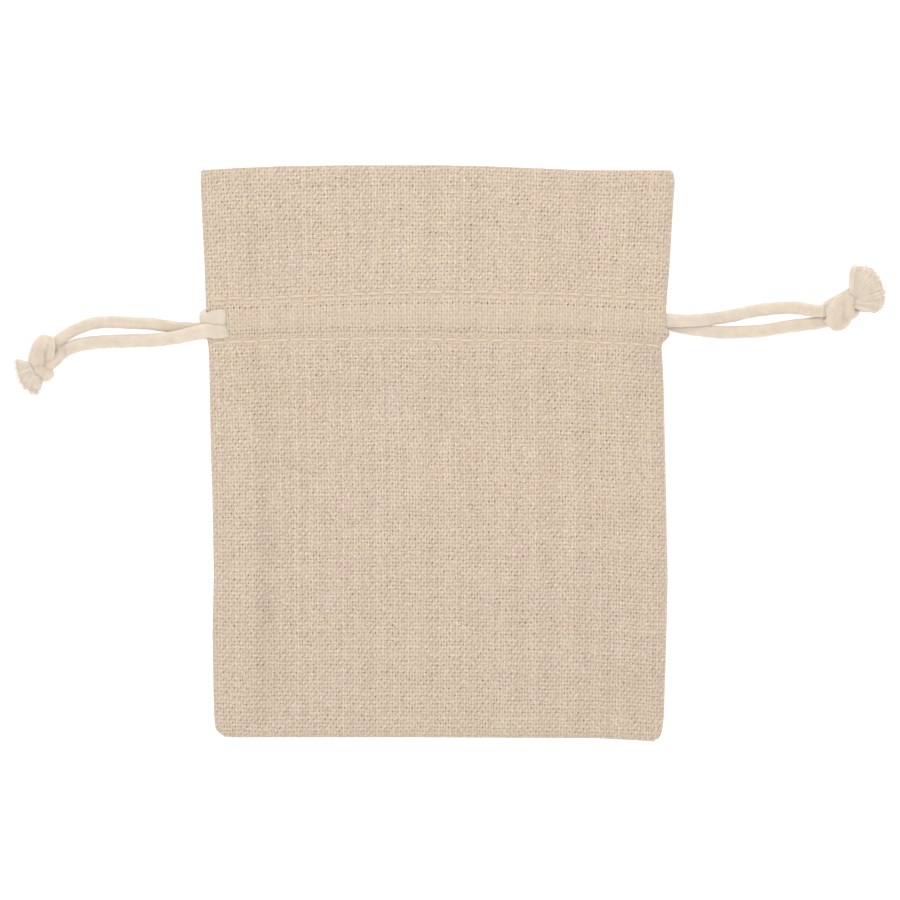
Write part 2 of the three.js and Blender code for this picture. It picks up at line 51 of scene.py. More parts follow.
eye_lens = bpy.data.cameras.new("eye")
eye_lens.lens = LENS_MM
eye_lens.sensor_width = SENSOR_MM
eye_lens.clip_end = FAR_LIMIT
eye = bpy.data.objects.new("eye", eye_lens)
eye.location = (*VIEW_MIDDLE, SEEN_LEVEL + VIEW_SIDE * LENS_MM / SENSOR_MM)
bpy.context.collection.objects.link(eye)
bpy.context.scene.camera = eye
bpy.context.scene.view_settings.view_transform = "Standard"


# Drawstrings
# Two soft round cotton cords, each through the whole casing and back, in along the front channel, round
# the far side seam and out along the back channel. Both ends of a cord leave the casing on the same side
# and are tied in one knot. Outside they lie on the table; inside, the cloth presses them a little flat.
LEFT_FRONT = (
    (-0.08, 0.02335, 0.00145), (-0.0764, 0.024, 0.00145), (-0.0725, 0.02435, 0.00145),
    (-0.0672, 0.0245, 0.0015), (-0.0637, 0.02455, 0.0019), (-0.0601, 0.02495, 0.0029),
    (-0.0566, 0.0254, 0.0043), (-0.0531, 0.0262, 0.0061), (-0.05, 0.0267, 0.0072),
)
LEFT_BACK = (
    (-0.08, 0.0269, 0.0015), (-0.0764, 0.0283, 0.00145), (-0.0725, 0.02865, 0.00145),
    (-0.0672, 0.0285, 0.00145), (-0.0637, 0.0283, 0.00145), (-0.0601, 0.02785, 0.00145),
    (-0.0566, 0.02745, 0.0015), (-0.0531, 0.02715, 0.00175), (-0.05, 0.027, 0.0022),
)
RIGHT_FRONT = (
    (0.084, 0.03105, 0.0027), (0.0823, 0.0313, 0.00255), (0.08, 0.0317, 0.0018),
    (0.0775, 0.03185, 0.00145), (0.073, 0.0316, 0.00145), (0.0694, 0.03105, 0.0015),
    (0.0659, 0.03025, 0.0017), (0.0623, 0.02965, 0.002), (0.0588, 0.0291, 0.0031),
    (0.055, 0.0289, 0.0051), (0.0515, 0.02895, 0.00695),
)
RIGHT_BACK = (
    (0.084, 0.0285, 0.00145), (0.0817, 0.0282, 0.00145), (0.0764, 0.0275, 0.00145),
    (0.0712, 0.0267, 0.00145), (0.0676, 0.02645, 0.0015), (0.0623, 0.0264, 0.0019),
    (0.0575, 0.0269, 0.0029), (0.0543, 0.0274, 0.0037), (0.0518, 0.028, 0.0039),
)
# Stops of the front and the back end of each cord inside its knot.
LEFT_ENDS = (
    ((-0.0856, 0.0197, 0.0015), (-0.0828, 0.0219, 0.0015)),
    ((-0.0856, 0.0228, 0.0018), (-0.0822, 0.0256, 0.00155)),
)
RIGHT_ENDS = (
    ((0.0886, 0.0316, 0.0026), (0.0862, 0.0312, 0.0026)),
    ((0.0886, 0.0304, 0.0015), (0.0862, 0.0291, 0.0015)),
)
# Middle of the casing's channels as (x, y).
LANES = (
    (-0.05, 0.0284), (-0.046, 0.0285), (-0.03, 0.0291), (-0.01, 0.0293), (0.01, 0.02895),
    (0.027, 0.02875), (0.04, 0.0281), (0.05, 0.02755),
)
# The cords lie side by side in each channel, and each has slipped a little towards the bottom.
LANE_OFFSET = 0.00148
LEFT_SAG = 0.0003
RIGHT_SAG = 0.00035
FRONT_LEVEL = 0.007644
BACK_LEVEL = 0.002448
MOUTH_X = 0.0456
HELD_STOPS = (-0.041, -0.03, -0.015, 0.0, 0.015, 0.03, 0.0443)
TURN_RADIUS = 0.0025
LEFT_TURN_X = 0.0492
RIGHT_TURN_X = -0.0507
RING_STEP = 0.00045
RING_SIDES = 28
STEPS_A_STOP = 24
THIN_CORD = 0.00133
FULL_CORD = 0.00148
HELD_CORD = 0.0014
NOTCH_CORD = 0.0019
LEFT_SWELL = 0.00042
RIGHT_SWELL = 0.00015
PRESSED = 0.70
PRESSED_SQUARE = 4.0
LYING = 0.17
# Distances from the pouch's middle at which a cord is gripped, swells, bends round the far side and is
# pressed flat, each with the length over which it does so.
GRIP_X = 0.0505
GRIP_LENGTH = 0.008
SWELL_X = 0.0485
SWELL_LENGTH = 0.0034
BEND_X = 0.0445
BEND_LENGTH = 0.003
PRESS_X = 0.0515
PRESS_LENGTH = 0.004
PLY_COUNT = 3
PLY_RISE = 0.022
PLY_LENGTH = 0.0105
# Thicker and thinner places of the soft cotton as (share of the radius, angle a metre, first angle).
LUMPS = ((0.018, 1900, 1.3), (0.014, 830, 0.4))


def smooth(t):
    """Soft step from 0 to 1."""
    t = np.clip(t, 0.0, 1.0)
    return t * t * (3.0 - 2.0 * t)


def hump(off, reach):
    """1 at a place, fading to next to nothing at twice the reach away from it."""
    return np.exp(-((off / reach) ** 2))


def read_off(table, at, column=1):
    """Value in a column of a table for each place in its first column."""
    rows = np.array(table)
    return np.interp(at, rows[:, 0], rows[:, column])


def soft_line(stops, step):
    """Ring centres at even steps along a smooth line through the stops, and how far along each one is."""
    stops = np.array(stops, dtype=float)
    knots = np.concatenate(([0.0], np.cumsum(np.sqrt(np.linalg.norm(np.diff(stops, axis=0), axis=1)))))
    slopes = np.gradient(stops, knots, axis=0)
    t = np.linspace(0.0, knots[-1], STEPS_A_STOP * len(stops))
    piece = np.clip(np.searchsorted(knots, t, side="right") - 1, 0, len(stops) - 2)
    span = (knots[piece + 1] - knots[piece])[:, None]
    u = ((t - knots[piece]) / span[:, 0])[:, None]
    fine = (
        (2 * u**3 - 3 * u**2 + 1) * stops[piece] + (u**3 - 2 * u**2 + u) * span * slopes[piece]
        + (3 * u**2 - 2 * u**3) * stops[piece + 1] + (u**3 - u**2) * span * slopes[piece + 1]
    )
    along = np.concatenate(([0.0], np.cumsum(np.linalg.norm(np.diff(fine, axis=0), axis=1))))
    places = np.linspace(0.0, along[-1], max(4, round(along[-1] / step)))
    return np.stack([np.interp(places, along, fine[:, k]) for k in range(3)], axis=1), places


def round_axes(centres, level=False):
    """Sideways and upward directions at each ring: kept level, or carried along without twisting."""
    ahead = np.gradient(centres, axis=0)
    ahead /= np.linalg.norm(ahead, axis=1)[:, None]
    first = np.array((0.0, 1.0, 0.0))
    if not level and abs(ahead[0] @ first) > 0.8:
        first = np.array((1.0, 0.0, 0.0))
    side = first
    across = []
    for way in ahead:
        if level:
            side = first
        side = side - way * (side @ way)
        side = side / np.linalg.norm(side)
        across.append(side)
    return np.array(across), np.cross(ahead, across)


def make_piece(name, points, faces, lay=None):
    """One mesh piece, smooth all over; lay tells where each point is across and along the yarns."""
    mesh = bpy.data.meshes.new(name)
    mesh.from_pydata(np.array(points).tolist(), [], faces)
    if lay is not None:
        spots = np.array(lay, dtype=float).ravel()
        mesh.attributes.new("lay", "FLOAT_VECTOR", "POINT").data.foreach_set("vector", spots)
    mesh.shade_smooth()
    piece = bpy.data.objects.new(name, mesh)
    bpy.context.collection.objects.link(piece)
    return piece


def tube_faces(first, rings, sides):
    """Faces of a closed tube whose points start at first and go on ring by ring."""
    faces = []
    for ring_start in range(first, first + (rings - 1) * sides, sides):
        ring_end = ring_start + sides
        for k in range(sides):
            after = (k + 1) % sides
            faces.append((ring_start + k, ring_start + after, ring_end + after, ring_end + k))
    faces.append(tuple(reversed(range(first, first + sides))))
    faces.append(tuple(range(first + (rings - 1) * sides, first + rings * sides)))
    return faces


def cotton_cord(name, centres, along, radii, across, up, pressed):
    """Mesh tube of spun cotton round the centres; pressed runs from 0, round, to 1, flat and squarish."""
    turns = np.arange(RING_SIDES) * 2 * math.pi / RING_SIDES
    count = len(centres)
    square = (2 + PRESSED_SQUARE * pressed)[:, None]
    corners = (np.abs(np.cos(turns)) ** square + np.abs(np.sin(turns)) ** square) ** (-1 / square)
    ply = 1 + PLY_RISE * np.cos(PLY_COUNT * turns[None, :] - along[:, None] * 2 * math.pi / PLY_LENGTH)
    lumps = np.ones(count)
    for share, rate, start in LUMPS:
        lumps = lumps + share * np.sin(along * rate + start)
    reach = radii[:, None] * ply * lumps[:, None] * corners
    flat = 1 - (1 - PRESSED) * pressed
    points = (
        centres[:, None, :]
        + (reach * np.cos(turns))[..., None] * across[:, None, :]
        + (reach * np.sin(turns) * flat[:, None])[..., None] * up[:, None, :]
    ).reshape(-1, 3)
    points[:, 2] = np.maximum(points[:, 2], 0.0)
    lay = np.stack([
        np.tile(turns * FULL_CORD, count),
        np.repeat(along, RING_SIDES),
        np.zeros(count * RING_SIDES),
    ], axis=1)
    return make_piece(name, points, tube_faces(0, count, RING_SIDES), lay)


def tone(red, green, blue):
    """Colour of the shader from the red, green and blue seen, 0 to 255."""
    seen = np.array((red, green, blue)) / 255.0
    linear = np.where(seen <= 0.04045, seen / 12.92, ((seen + 0.055) / 1.055) ** 2.4)
    return (*linear.tolist(), 1.0)


def add(nodes, kind, feeds=None, **settings):
    """Adds a shader node, sets it up and feeds its sockets with values or with other nodes' sockets."""
    node = nodes.new("ShaderNode" + kind)
    for key, value in settings.items():
        setattr(node, key, value)
    for key, value in (feeds or {}).items():
        socket = node.inputs[key]
        if isinstance(value, bpy.types.NodeSocket):
            nodes.id_data.links.new(value, socket)
        else:
            socket.default_value = value
    return node


def sums(nodes, operation, first, second=0.0, third=None, clamp=False):
    """One step of arithmetic in a finish, on values or sockets."""
    feeds = {0: first, 1: second}
    if third is not None:
        feeds[2] = third
    return add(nodes, "Math", feeds, operation=operation, use_clamp=clamp).outputs[0]


def product(nodes, first, second):
    """First times second."""
    return sums(nodes, "MULTIPLY", first, second)


def product_plus(nodes, first, second, third):
    """First times second, plus third."""
    return sums(nodes, "MULTIPLY_ADD", first, second, third)


def blend_tones(nodes, share, first, second, kind="MIX"):
    """Mix of two colours by a share from 0 to 1."""
    feeds = {0: share, 6: first, 7: second}
    return add(nodes, "Mix", feeds, data_type="RGBA", blend_type=kind).outputs[2]


def rescale(nodes, value, low, high, new_low=0.0, new_high=1.0, curve="SMOOTHSTEP"):
    """A value brought from one range to another, softly at both ends."""
    feeds = {"Value": value, "From Min": low, "From Max": high, "To Min": new_low, "To Max": new_high}
    return add(nodes, "MapRange", feeds, interpolation_type=curve).outputs["Result"]


def noise(nodes, place, scale, detail, output=0):
    """Soft random pattern over places: its value, or its colour as output 1."""
    return add(nodes, "TexNoise", {"Vector": place, "Scale": scale, "Detail": detail}).outputs[output]


def new_finish(name):
    """A finish with no nodes in it yet, and its nodes."""
    finish = bpy.data.materials.new(name)
    finish.use_nodes = True
    finish.node_tree.nodes.clear()
    return finish, finish.node_tree.nodes


COTTON_TONE = tone(220, 208, 192)
COTTON_SHADE = tone(209, 196, 179)
# How much the cotton's fibres slant round the cord, and how many there are a metre across and along.
FIBRE_SLANT = 0.35
FIBRES_ACROSS = 9000.0
FIBRES_ALONG = 900.0


def cotton_finish(name, light, shaded, depth, softness):
    """Undyed spun cotton: soft, matt, with fine fibres that run slightly round the cord."""
    finish, nodes = new_finish(name)
    lay = add(nodes, "Attribute", attribute_name="lay").outputs["Vector"]
    split = add(nodes, "SeparateXYZ", {"Vector": lay})
    slant = product_plus(nodes, split.outputs["Y"], FIBRE_SLANT, split.outputs["X"])
    fibre_place = add(nodes, "CombineXYZ", {
        "X": product(nodes, slant, FIBRES_ACROSS),
        "Y": product(nodes, split.outputs["Y"], FIBRES_ALONG),
    }).outputs[0]
    fibres = add(nodes, "TexNoise", {
        "Vector": fibre_place, "Scale": 1.0, "Detail": 3.0, "Roughness": 0.6,
    }).outputs[0]
    place = add(nodes, "TexCoord").outputs["Object"]
    patches = noise(nodes, place, 420.0, 3.0)
    shade = product_plus(nodes, fibres, 0.55, product(nodes, patches, 0.45))
    colour = blend_tones(nodes, rescale(nodes, shade, 0.36, 0.66), shaded, light)
    relief = add(nodes, "Bump", {"Height": fibres, "Strength": depth, "Distance": 0.00012}).outputs[0]
    cloth = add(nodes, "BsdfPrincipled", {
        "Base Color": colour, "Roughness": 0.92, "Specular IOR Level": 0.2, "Normal": relief,
        "Sheen Weight": 0.12, "Sheen Roughness": 0.6,
        "Subsurface Weight": softness, "Subsurface Radius": (1.0, 0.95, 0.9), "Subsurface Scale": 0.0011,
    })
    add(nodes, "OutputMaterial", {"Surface": cloth.outputs[0]})
    return finish


cotton = cotton_finish("undyed_cotton", COTTON_TONE, COTTON_SHADE, 0.45, 0.9)


def finish_piece(piece, finish, node):
    """Gives a piece its finish and its place on the pouch."""
    piece.data.materials.append(finish)
    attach(piece, "root")
    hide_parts(node)


def lane_y(x):
    """Middle of the casing's channels at x."""
    return float(read_off(LANES, x))


def held_stops(side, offset, level):
    """Stops of a cord through one channel, from its knot's side to the far side."""
    return [(side * x, lane_y(side * x) + offset, level) for x in HELD_STOPS]


def turn_stops(turn_x, side, offset):
    """Half circle round the far side seam, from the front channel down to the back one."""
    middle = (FRONT_LEVEL + BACK_LEVEL) / 2
    y = lane_y(turn_x) + offset
    return [
        (turn_x - side * TURN_RADIUS * (1 - math.cos(t * math.pi)), y,
         middle + TURN_RADIUS * math.sin(t * math.pi))
        for t in (0.5, 0.3, 0.1, -0.1, -0.3, -0.5)
    ]


def lay_drawstring(name, front, back, side, offset, turn_x, radius_list, knot_ends):
    """One drawstring from its knot round through the casing and back to its knot, in three pieces.

    Gives its two free strands, each with its route, its length and its radius.
    """
    front_radius, back_radius, bend_radius, swell = radius_list
    mouth = -side * MOUTH_X
    stops = (
        list(knot_ends[0])
        + list(front)
        + [(mouth, lane_y(mouth) + offset, FRONT_LEVEL)]
        + held_stops(side, offset, FRONT_LEVEL)
        + turn_stops(turn_x, side, offset)
        + held_stops(side, offset, BACK_LEVEL)[::-1]
        + [(mouth, lane_y(mouth) + offset, BACK_LEVEL)]
        + list(back)[::-1]
        + list(knot_ends[1])[::-1]
    )
    centres, along = soft_line(stops, RING_STEP)
    across, up = round_axes(centres, level=True)
    far = side * centres[:, 0]
    outside = far < -MOUTH_X
    leave = int(np.argmin(outside))
    enter = len(outside) - int(np.argmin(outside[::-1]))
    gripped = smooth((GRIP_X + far) / GRIP_LENGTH)
    in_front = np.arange(len(centres)) < len(centres) / 2
    radii = np.where(in_front, front_radius, back_radius) * (1 - gripped) + HELD_CORD * gripped
    radii = radii + (bend_radius - HELD_CORD) * smooth((far - BEND_X) / BEND_LENGTH)
    radii = radii + swell * hump(far + SWELL_X, SWELL_LENGTH)
    pressed = LYING + (1 - LYING) * smooth((PRESS_X - np.abs(far)) / PRESS_LENGTH)
    parts = {"front": slice(0, leave + 1), "held": slice(leave, enter), "back": slice(enter - 1, None)}
    pieces = {}
    for part, span in parts.items():
        rings = (line[span] for line in (centres, along, radii, across, up, pressed))
        pieces[part] = cotton_cord(f"{name}_{part}", *rings)
        finish_piece(pieces[part], cotton, name)
    return (
        (pieces["front"], centres[:leave + 1], along[leave], front_radius),
        (pieces["back"], centres[enter - 1:][::-1], along[-1] - along[enter - 1], back_radius),
    )


left_strands = lay_drawstring(
    "drawstring_left", LEFT_FRONT, LEFT_BACK, 1, -LANE_OFFSET - LEFT_SAG, LEFT_TURN_X,
    (FULL_CORD, THIN_CORD, HELD_CORD, LEFT_SWELL), LEFT_ENDS,
)
right_strands = lay_drawstring(
    "drawstring_right", RIGHT_FRONT, RIGHT_BACK, -1, LANE_OFFSET - RIGHT_SAG, RIGHT_TURN_X,
    (HELD_CORD, HELD_CORD, NOTCH_CORD, RIGHT_SWELL), RIGHT_ENDS,
)


# Knots
# Both ends of each drawstring are tied in one overhand knot, pulled tight by hand. Past it the soft
# cotton cords are cut off, and their plies have frayed into a tuft of short loose fibres.
# The turns of each knot are given as (radius, stops along the cord's middle).
KNOT_LEFT = (
    (0.00175, (
        (-0.0863, 0.0232, 0.0018), (-0.0864, 0.024, 0.0029), (-0.0867, 0.0242, 0.004),
        (-0.0876, 0.0231, 0.0047), (-0.0883, 0.0215, 0.0047), (-0.0884, 0.0199, 0.004),
        (-0.0875, 0.0189, 0.0024),
    )),
    (0.0012, (
        (-0.0857, 0.0238, 0.0016), (-0.0855, 0.0245, 0.0028), (-0.0854, 0.0239, 0.0042),
        (-0.0854, 0.0226, 0.0045), (-0.0855, 0.0214, 0.004), (-0.0861, 0.0202, 0.003),
    )),
    (0.00145, (
        (-0.0829, 0.0224, 0.0016), (-0.0837, 0.0209, 0.0024), (-0.0849, 0.0197, 0.003),
        (-0.0863, 0.0189, 0.003), (-0.0876, 0.018, 0.002),
    )),
    (0.0015, (
        (-0.0889, 0.0192, 0.003), (-0.0882, 0.0182, 0.004), (-0.0871, 0.0172, 0.0039),
        (-0.0863, 0.0169, 0.003), (-0.0857, 0.0176, 0.0018),
    )),
    (0.0014, (
        (-0.0852, 0.0232, 0.0018), (-0.0868, 0.0214, 0.0018), (-0.0886, 0.0188, 0.0016),
    )),
    (0.0014, (
        (-0.0852, 0.0202, 0.0015), (-0.0864, 0.019, 0.0015), (-0.088, 0.0174, 0.0015),
    )),
    (0.001, ((-0.0848, 0.0231, 0.0022), (-0.083, 0.02375, 0.0017), (-0.0818, 0.0243, 0.0013))),
)
KNOT_RIGHT = (
    (0.0017, (
        (0.0899, 0.03, 0.0018), (0.0892, 0.0287, 0.0026), (0.0879, 0.0283, 0.0034),
        (0.0873, 0.0295, 0.0043), (0.0876, 0.0311, 0.0048), (0.0885, 0.0324, 0.0044),
        (0.0896, 0.0333, 0.0032), (0.0906, 0.0343, 0.0018),
    )),
    (0.0015, (
        (0.0919, 0.0319, 0.0017), (0.0914, 0.0307, 0.0026), (0.0906, 0.0306, 0.0037),
        (0.0904, 0.0319, 0.0045), (0.0908, 0.0332, 0.0043), (0.0913, 0.0343, 0.0034),
        (0.0917, 0.0351, 0.002),
    )),
    (0.00135, (
        (0.0856, 0.0317, 0.0026), (0.087, 0.0326, 0.0029), (0.0888, 0.0336, 0.003),
        (0.0904, 0.0346, 0.0026), (0.0916, 0.035, 0.002),
    )),
    (0.00145, (
        (0.0882, 0.03, 0.0015), (0.0895, 0.0307, 0.0016), (0.0912, 0.0322, 0.0017),
        (0.0924, 0.0334, 0.0017),
    )),
    (0.0014, (
        (0.0888, 0.0336, 0.0038), (0.0891, 0.0327, 0.0044), (0.0892, 0.0317, 0.0043),
        (0.0893, 0.0307, 0.0037), (0.0894, 0.0298, 0.0031),
    )),
    (0.0009, ((0.0855, 0.0313, 0.0029), (0.0863, 0.0311, 0.0038), (0.0874, 0.0306, 0.0046))),
    (0.0008, ((0.0855, 0.0289, 0.0021), (0.0863, 0.0289, 0.0032), (0.0872, 0.029, 0.0042))),
)
# Frayed ends as (x and y inside the knot, x and y of the cut end).
FRAY_LEFT = (
    (-0.0894, 0.0193, -0.0931, 0.0206), (-0.0892, 0.0188, -0.0928, 0.0186),
    (-0.089, 0.0183, -0.0925, 0.017), (-0.0888, 0.0178, -0.0919, 0.0155),
    (-0.0886, 0.0174, -0.0911, 0.0145), (-0.0883, 0.0171, -0.0902, 0.0139),
    (-0.088, 0.0168, -0.0893, 0.0134), (-0.0877, 0.0166, -0.0883, 0.013),
    (-0.0875, 0.0164, -0.0878, 0.0139),
)
FRAY_RIGHT = (
    (0.0911, 0.0349, 0.0911, 0.0405), (0.0912, 0.0347, 0.0922, 0.0413), (0.0914, 0.0345, 0.0945, 0.0411),
    (0.0916, 0.0342, 0.0961, 0.0404), (0.0917, 0.0339, 0.0975, 0.0388), (0.0918, 0.0336, 0.0982, 0.0368),
    (0.0919, 0.0332, 0.0988, 0.0355), (0.0919, 0.0328, 0.0988, 0.0334), (0.0919, 0.0325, 0.0983, 0.0319),
    (0.0918, 0.0322, 0.097, 0.0309), (0.0916, 0.0319, 0.095, 0.0311),
)
LOCK_RADIUS = 0.0003
LOCK_SIDES = 9
LOCK_LAYERS = 3
LOCK_STRAY = 0.00012
LOCK_ARCH = 0.0004
# Ranges of each lock's place in its share of the fan, of its length and of its thickness.
LOCK_PLACES = (0.1, 0.9)
LOCK_LENGTHS = (0.96, 1.04)
LOCK_THICKNESS = (0.8, 1.25)
LAYER_SHORTER = 0.05
# Keeps the fibres of one lock apart from the next one's in the finish.
LOCK_LAY = 0.004
# Height of the lowest layer of locks, and how far each next one is above it, at the knot and at the tip.
ROOT_LEVEL = 0.0019
ROOT_RISE = 0.0015
ROOT_VARIES = (-0.0002, 0.0002)
TIP_LEVEL = 0.0005
TIP_RISE = 0.0007
TIP_VARIES = (-0.0001, 0.0002)
# The loose fibres: their length is a share of the reach, plus the least one.
LOOSE_RADIUS = 0.00005
LOOSE_SIDES = 3
LOOSE_LENGTHS = (0.35, 1.0)
LOOSE_THICKNESS = (0.8, 1.5)
LOOSE_LEAST = 0.0004
LOOSE_BEND = 0.16
LOOSE_DROP = 0.06
# Cell sizes and smoothing passes for the soft forms.
KNOT_CELL = 0.00013
TUFT_CELL = 0.00011
TUFT_PASSES = 10


def press_together(piece, cell, passes):
    """Makes cords or locks that lie against each other one soft form, and keeps each spot's fibre lay."""
    loose = piece.data
    lay = np.empty(3 * len(loose.vertices))
    loose.attributes["lay"].data.foreach_get("vector", lay)
    lay = lay.reshape(-1, 3)
    near = KDTree(len(loose.vertices))
    for k, vertex in enumerate(loose.vertices):
        near.insert(vertex.co, k)
    near.balance()
    merge = piece.modifiers.new("merge", "REMESH")
    merge.mode = "VOXEL"
    merge.voxel_size = cell
    settle = piece.modifiers.new("settle", "SMOOTH")
    settle.factor = 0.5
    settle.iterations = passes
    pressed = bpy.data.meshes.new_from_object(piece.evaluated_get(bpy.context.evaluated_depsgraph_get()))
    piece.modifiers.clear()
    piece.data = pressed
    found = np.array([lay[near.find(vertex.co)[1]] for vertex in pressed.vertices])
    pressed.attributes.new("lay", "FLOAT_VECTOR", "POINT").data.foreach_set("vector", found.ravel())
    pressed.shade_smooth()


def join_pieces(pieces, name):
    """Makes several meshes one piece."""
    with bpy.context.temp_override(active_object=pieces[0], selected_editable_objects=pieces):
        bpy.ops.object.join()
    pieces[0].name = name
    return pieces[0]


def tie_knot(name, turns, passes):
    """The crossing cords of one knot, joined as one piece."""
    made = []
    for k, (radius, stops) in enumerate(turns):
        centres, along = soft_line(stops, RING_STEP)
        across, up = round_axes(centres)
        radii = np.full(len(centres), radius)
        unpressed = np.zeros(len(centres))
        made.append(cotton_cord(f"{name}_turn{k}", centres, along, radii, across, up, unpressed))
    knot = join_pieces(made, f"{name}_turns")
    press_together(knot, KNOT_CELL, passes)
    return knot


def add_lock(lists, line, radii, sides, start_lay):
    """One lock of fibres along a line, blunt at both ends."""
    points, faces, lay = lists
    faces.extend(tube_faces(len(points), len(line), sides))
    across, up = round_axes(line)
    run = np.concatenate(([0.0], np.cumsum(np.linalg.norm(np.diff(line, axis=0), axis=1))))
    for centre, radius, side, above, far in zip(line, radii, across, up, run):
        for k in range(sides):
            turn = 2 * math.pi * k / sides
            points.append(centre + radius * (side * math.cos(turn) + above * math.sin(turn)))
            lay.append((start_lay + min(k, sides - k) * 6 * radius / sides, far, 0.0))


def fray(name, fan, locks, loose_reach, seed):
    """The frayed ends of the cords past a knot: locks of fibres, with a loose one at each cut end."""
    chance = np.random.default_rng(seed)
    fan = np.array(fan, dtype=float)
    stations = np.linspace(0.0, 1.0, 9)
    bulge = np.sin(stations * math.pi)
    steps = np.linspace(0.0, 1.0, 5)
    lock_lists = ([], [], [])
    loose_lists = ([], [], [])
    for k in range(locks):
        layer = k % LOCK_LAYERS
        at = (k + chance.uniform(*LOCK_PLACES)) * (len(fan) - 1) / locks
        x0, y0, x1, y1 = (np.interp(at, np.arange(len(fan)), fan[:, c]) for c in range(4))
        root = np.array((x0, y0)) + chance.normal(0, LOCK_STRAY, 2)
        tip = np.array((x1, y1))
        reach = np.linalg.norm(tip - root)
        ahead = (tip - root) / reach
        aside = np.array((-ahead[1], ahead[0]))
        reach *= chance.uniform(*LOCK_LENGTHS) - LAYER_SHORTER * layer
        start = ROOT_LEVEL + ROOT_RISE * layer + chance.uniform(*ROOT_VARIES)
        end = TIP_LEVEL + TIP_RISE * layer + chance.uniform(*TIP_VARIES)
        sway = chance.normal(0, LOCK_STRAY) * bulge
        radius = LOCK_RADIUS * chance.uniform(*LOCK_THICKNESS)
        # A lock is thickest near its middle and thins over its last fifth.
        radii = radius * (0.8 + 0.3 * bulge - 0.25 * smooth((stations - 0.8) / 0.2))
        flat = root + reach * stations[:, None] * ahead + sway[:, None] * aside
        level = start + (end - start) * smooth(stations) + LOCK_ARCH * bulge
        line = np.column_stack((flat, np.maximum(level, radii)))
        lay = k * LOCK_LAY
        add_lock(lock_lists, line, radii, LOCK_SIDES, lay)

        # The loose fibre leaves the lock's surface beside its tip, any way round, and sinks a little.
        turn = chance.uniform(0, 2 * math.pi)
        off = np.array((aside[0] * math.cos(turn), aside[1] * math.cos(turn), math.sin(turn)))
        bent = chance.normal(0, LOOSE_BEND)
        way = np.array((ahead[0] - ahead[1] * bent, ahead[1] + ahead[0] * bent, -LOOSE_DROP))
        far = chance.uniform(*LOOSE_LENGTHS) * loose_reach + LOOSE_LEAST
        begin = line[-2] + off * radii[-2] * 0.8
        thread = begin + far * steps[:, None] * way
        thread[:, 2] = np.maximum(thread[:, 2], LOOSE_RADIUS)
        thick = LOOSE_RADIUS * chance.uniform(*LOOSE_THICKNESS) * (1 - 0.5 * steps)
        add_lock(loose_lists, thread, thick, LOOSE_SIDES, lay + turn)
    tuft = make_piece(name, *lock_lists)
    press_together(tuft, TUFT_CELL, TUFT_PASSES)
    return tuft, make_piece(f"{name}_loose", *loose_lists)


knotted_cotton = cotton_finish("knotted_cotton", tone(217, 203, 187), tone(205, 191, 173), 0.45, 0.9)
frayed_cotton = cotton_finish("frayed_cotton", tone(221, 208, 191), tone(205, 191, 174), 0.8, 0.9)
loose_cotton = cotton_finish("loose_cotton", tone(240, 228, 211), tone(228, 214, 196), 0.0, 0.0)
# Each knot with its turns and smoothing passes, its tuft's fan, locks and loose reach, and its strands.
for side, turns, passes, fan, locks, loose_reach, strands, seed in (
    ("left", KNOT_LEFT, 14, FRAY_LEFT, 180, 0.0014, left_strands, 11),
    ("right", KNOT_RIGHT, 45, FRAY_RIGHT, 210, 0.0003, right_strands, 12),
):
    knot = tie_knot(f"knot_{side}", turns, passes)
    tuft, loose = fray(f"frayed_{side}", fan, locks, loose_reach, seed)
    finish_piece(knot, knotted_cotton, f"knot_{side}")
    finish_piece(tuft, frayed_cotton, f"knot_{side}")
    finish_piece(loose, loose_cotton, f"knot_{side}")


# Cloth
# One strip of plain-woven linen, folded at the bottom and sewn up both sides, with its top turned in as
# a deep hem. Two rows of stitches across the hem make the casing, which the cords hold open, and the side
# seams are left open between them. The cloth is one thin sheet: outside, over the mouth, and down inside.
LINE_ROWS = {"bottom": -0.0627, "low": 0.0247, "high": 0.0347, "mouth": 0.0629}
# Side edges as (row, left, right).
SIDES = (
    (-0.0628, -0.0469, 0.0476), (-0.0625, -0.0477, 0.0487), (-0.0621, -0.0483, 0.049),
    (-0.0613, -0.0489, 0.0494), (-0.06, -0.0491, 0.0497), (-0.0568, -0.0493, 0.05),
    (-0.0403, -0.0496, 0.0505), (-0.0271, -0.0493, 0.0508), (-0.0106, -0.0496, 0.0505),
    (0.0026, -0.05, 0.0502), (0.0159, -0.0502, 0.0499), (0.0225, -0.0503, 0.0495),
    (0.0241, -0.0504, 0.0493), (0.0247, -0.0505, 0.04935), (0.0253, -0.0505, 0.0496),
    (0.0259, -0.0505, 0.0502), (0.0265, -0.0505, 0.0508), (0.027, -0.0506, 0.0511),
    (0.0275, -0.0506, 0.0511), (0.028, -0.0506, 0.0508), (0.0287, -0.0507, 0.0503),
    (0.03, -0.0508, 0.0502), (0.0324, -0.0509, 0.0503), (0.0423, -0.0513, 0.0512),
    (0.0555, -0.052, 0.052), (0.0604, -0.0522, 0.0524), (0.062, -0.0521, 0.0521),
    (0.0632, -0.0515, 0.0512),
)
# The same without the rounded corners and the puckers, for the run of the yarns.
YARN_SIDES = (
    (-0.0627, -0.0494, 0.05), (-0.0403, -0.0496, 0.0505), (-0.0106, -0.0496, 0.0505),
    (0.0159, -0.0502, 0.0499), (0.0555, -0.052, 0.052), (0.0632, -0.0523, 0.0524),
)
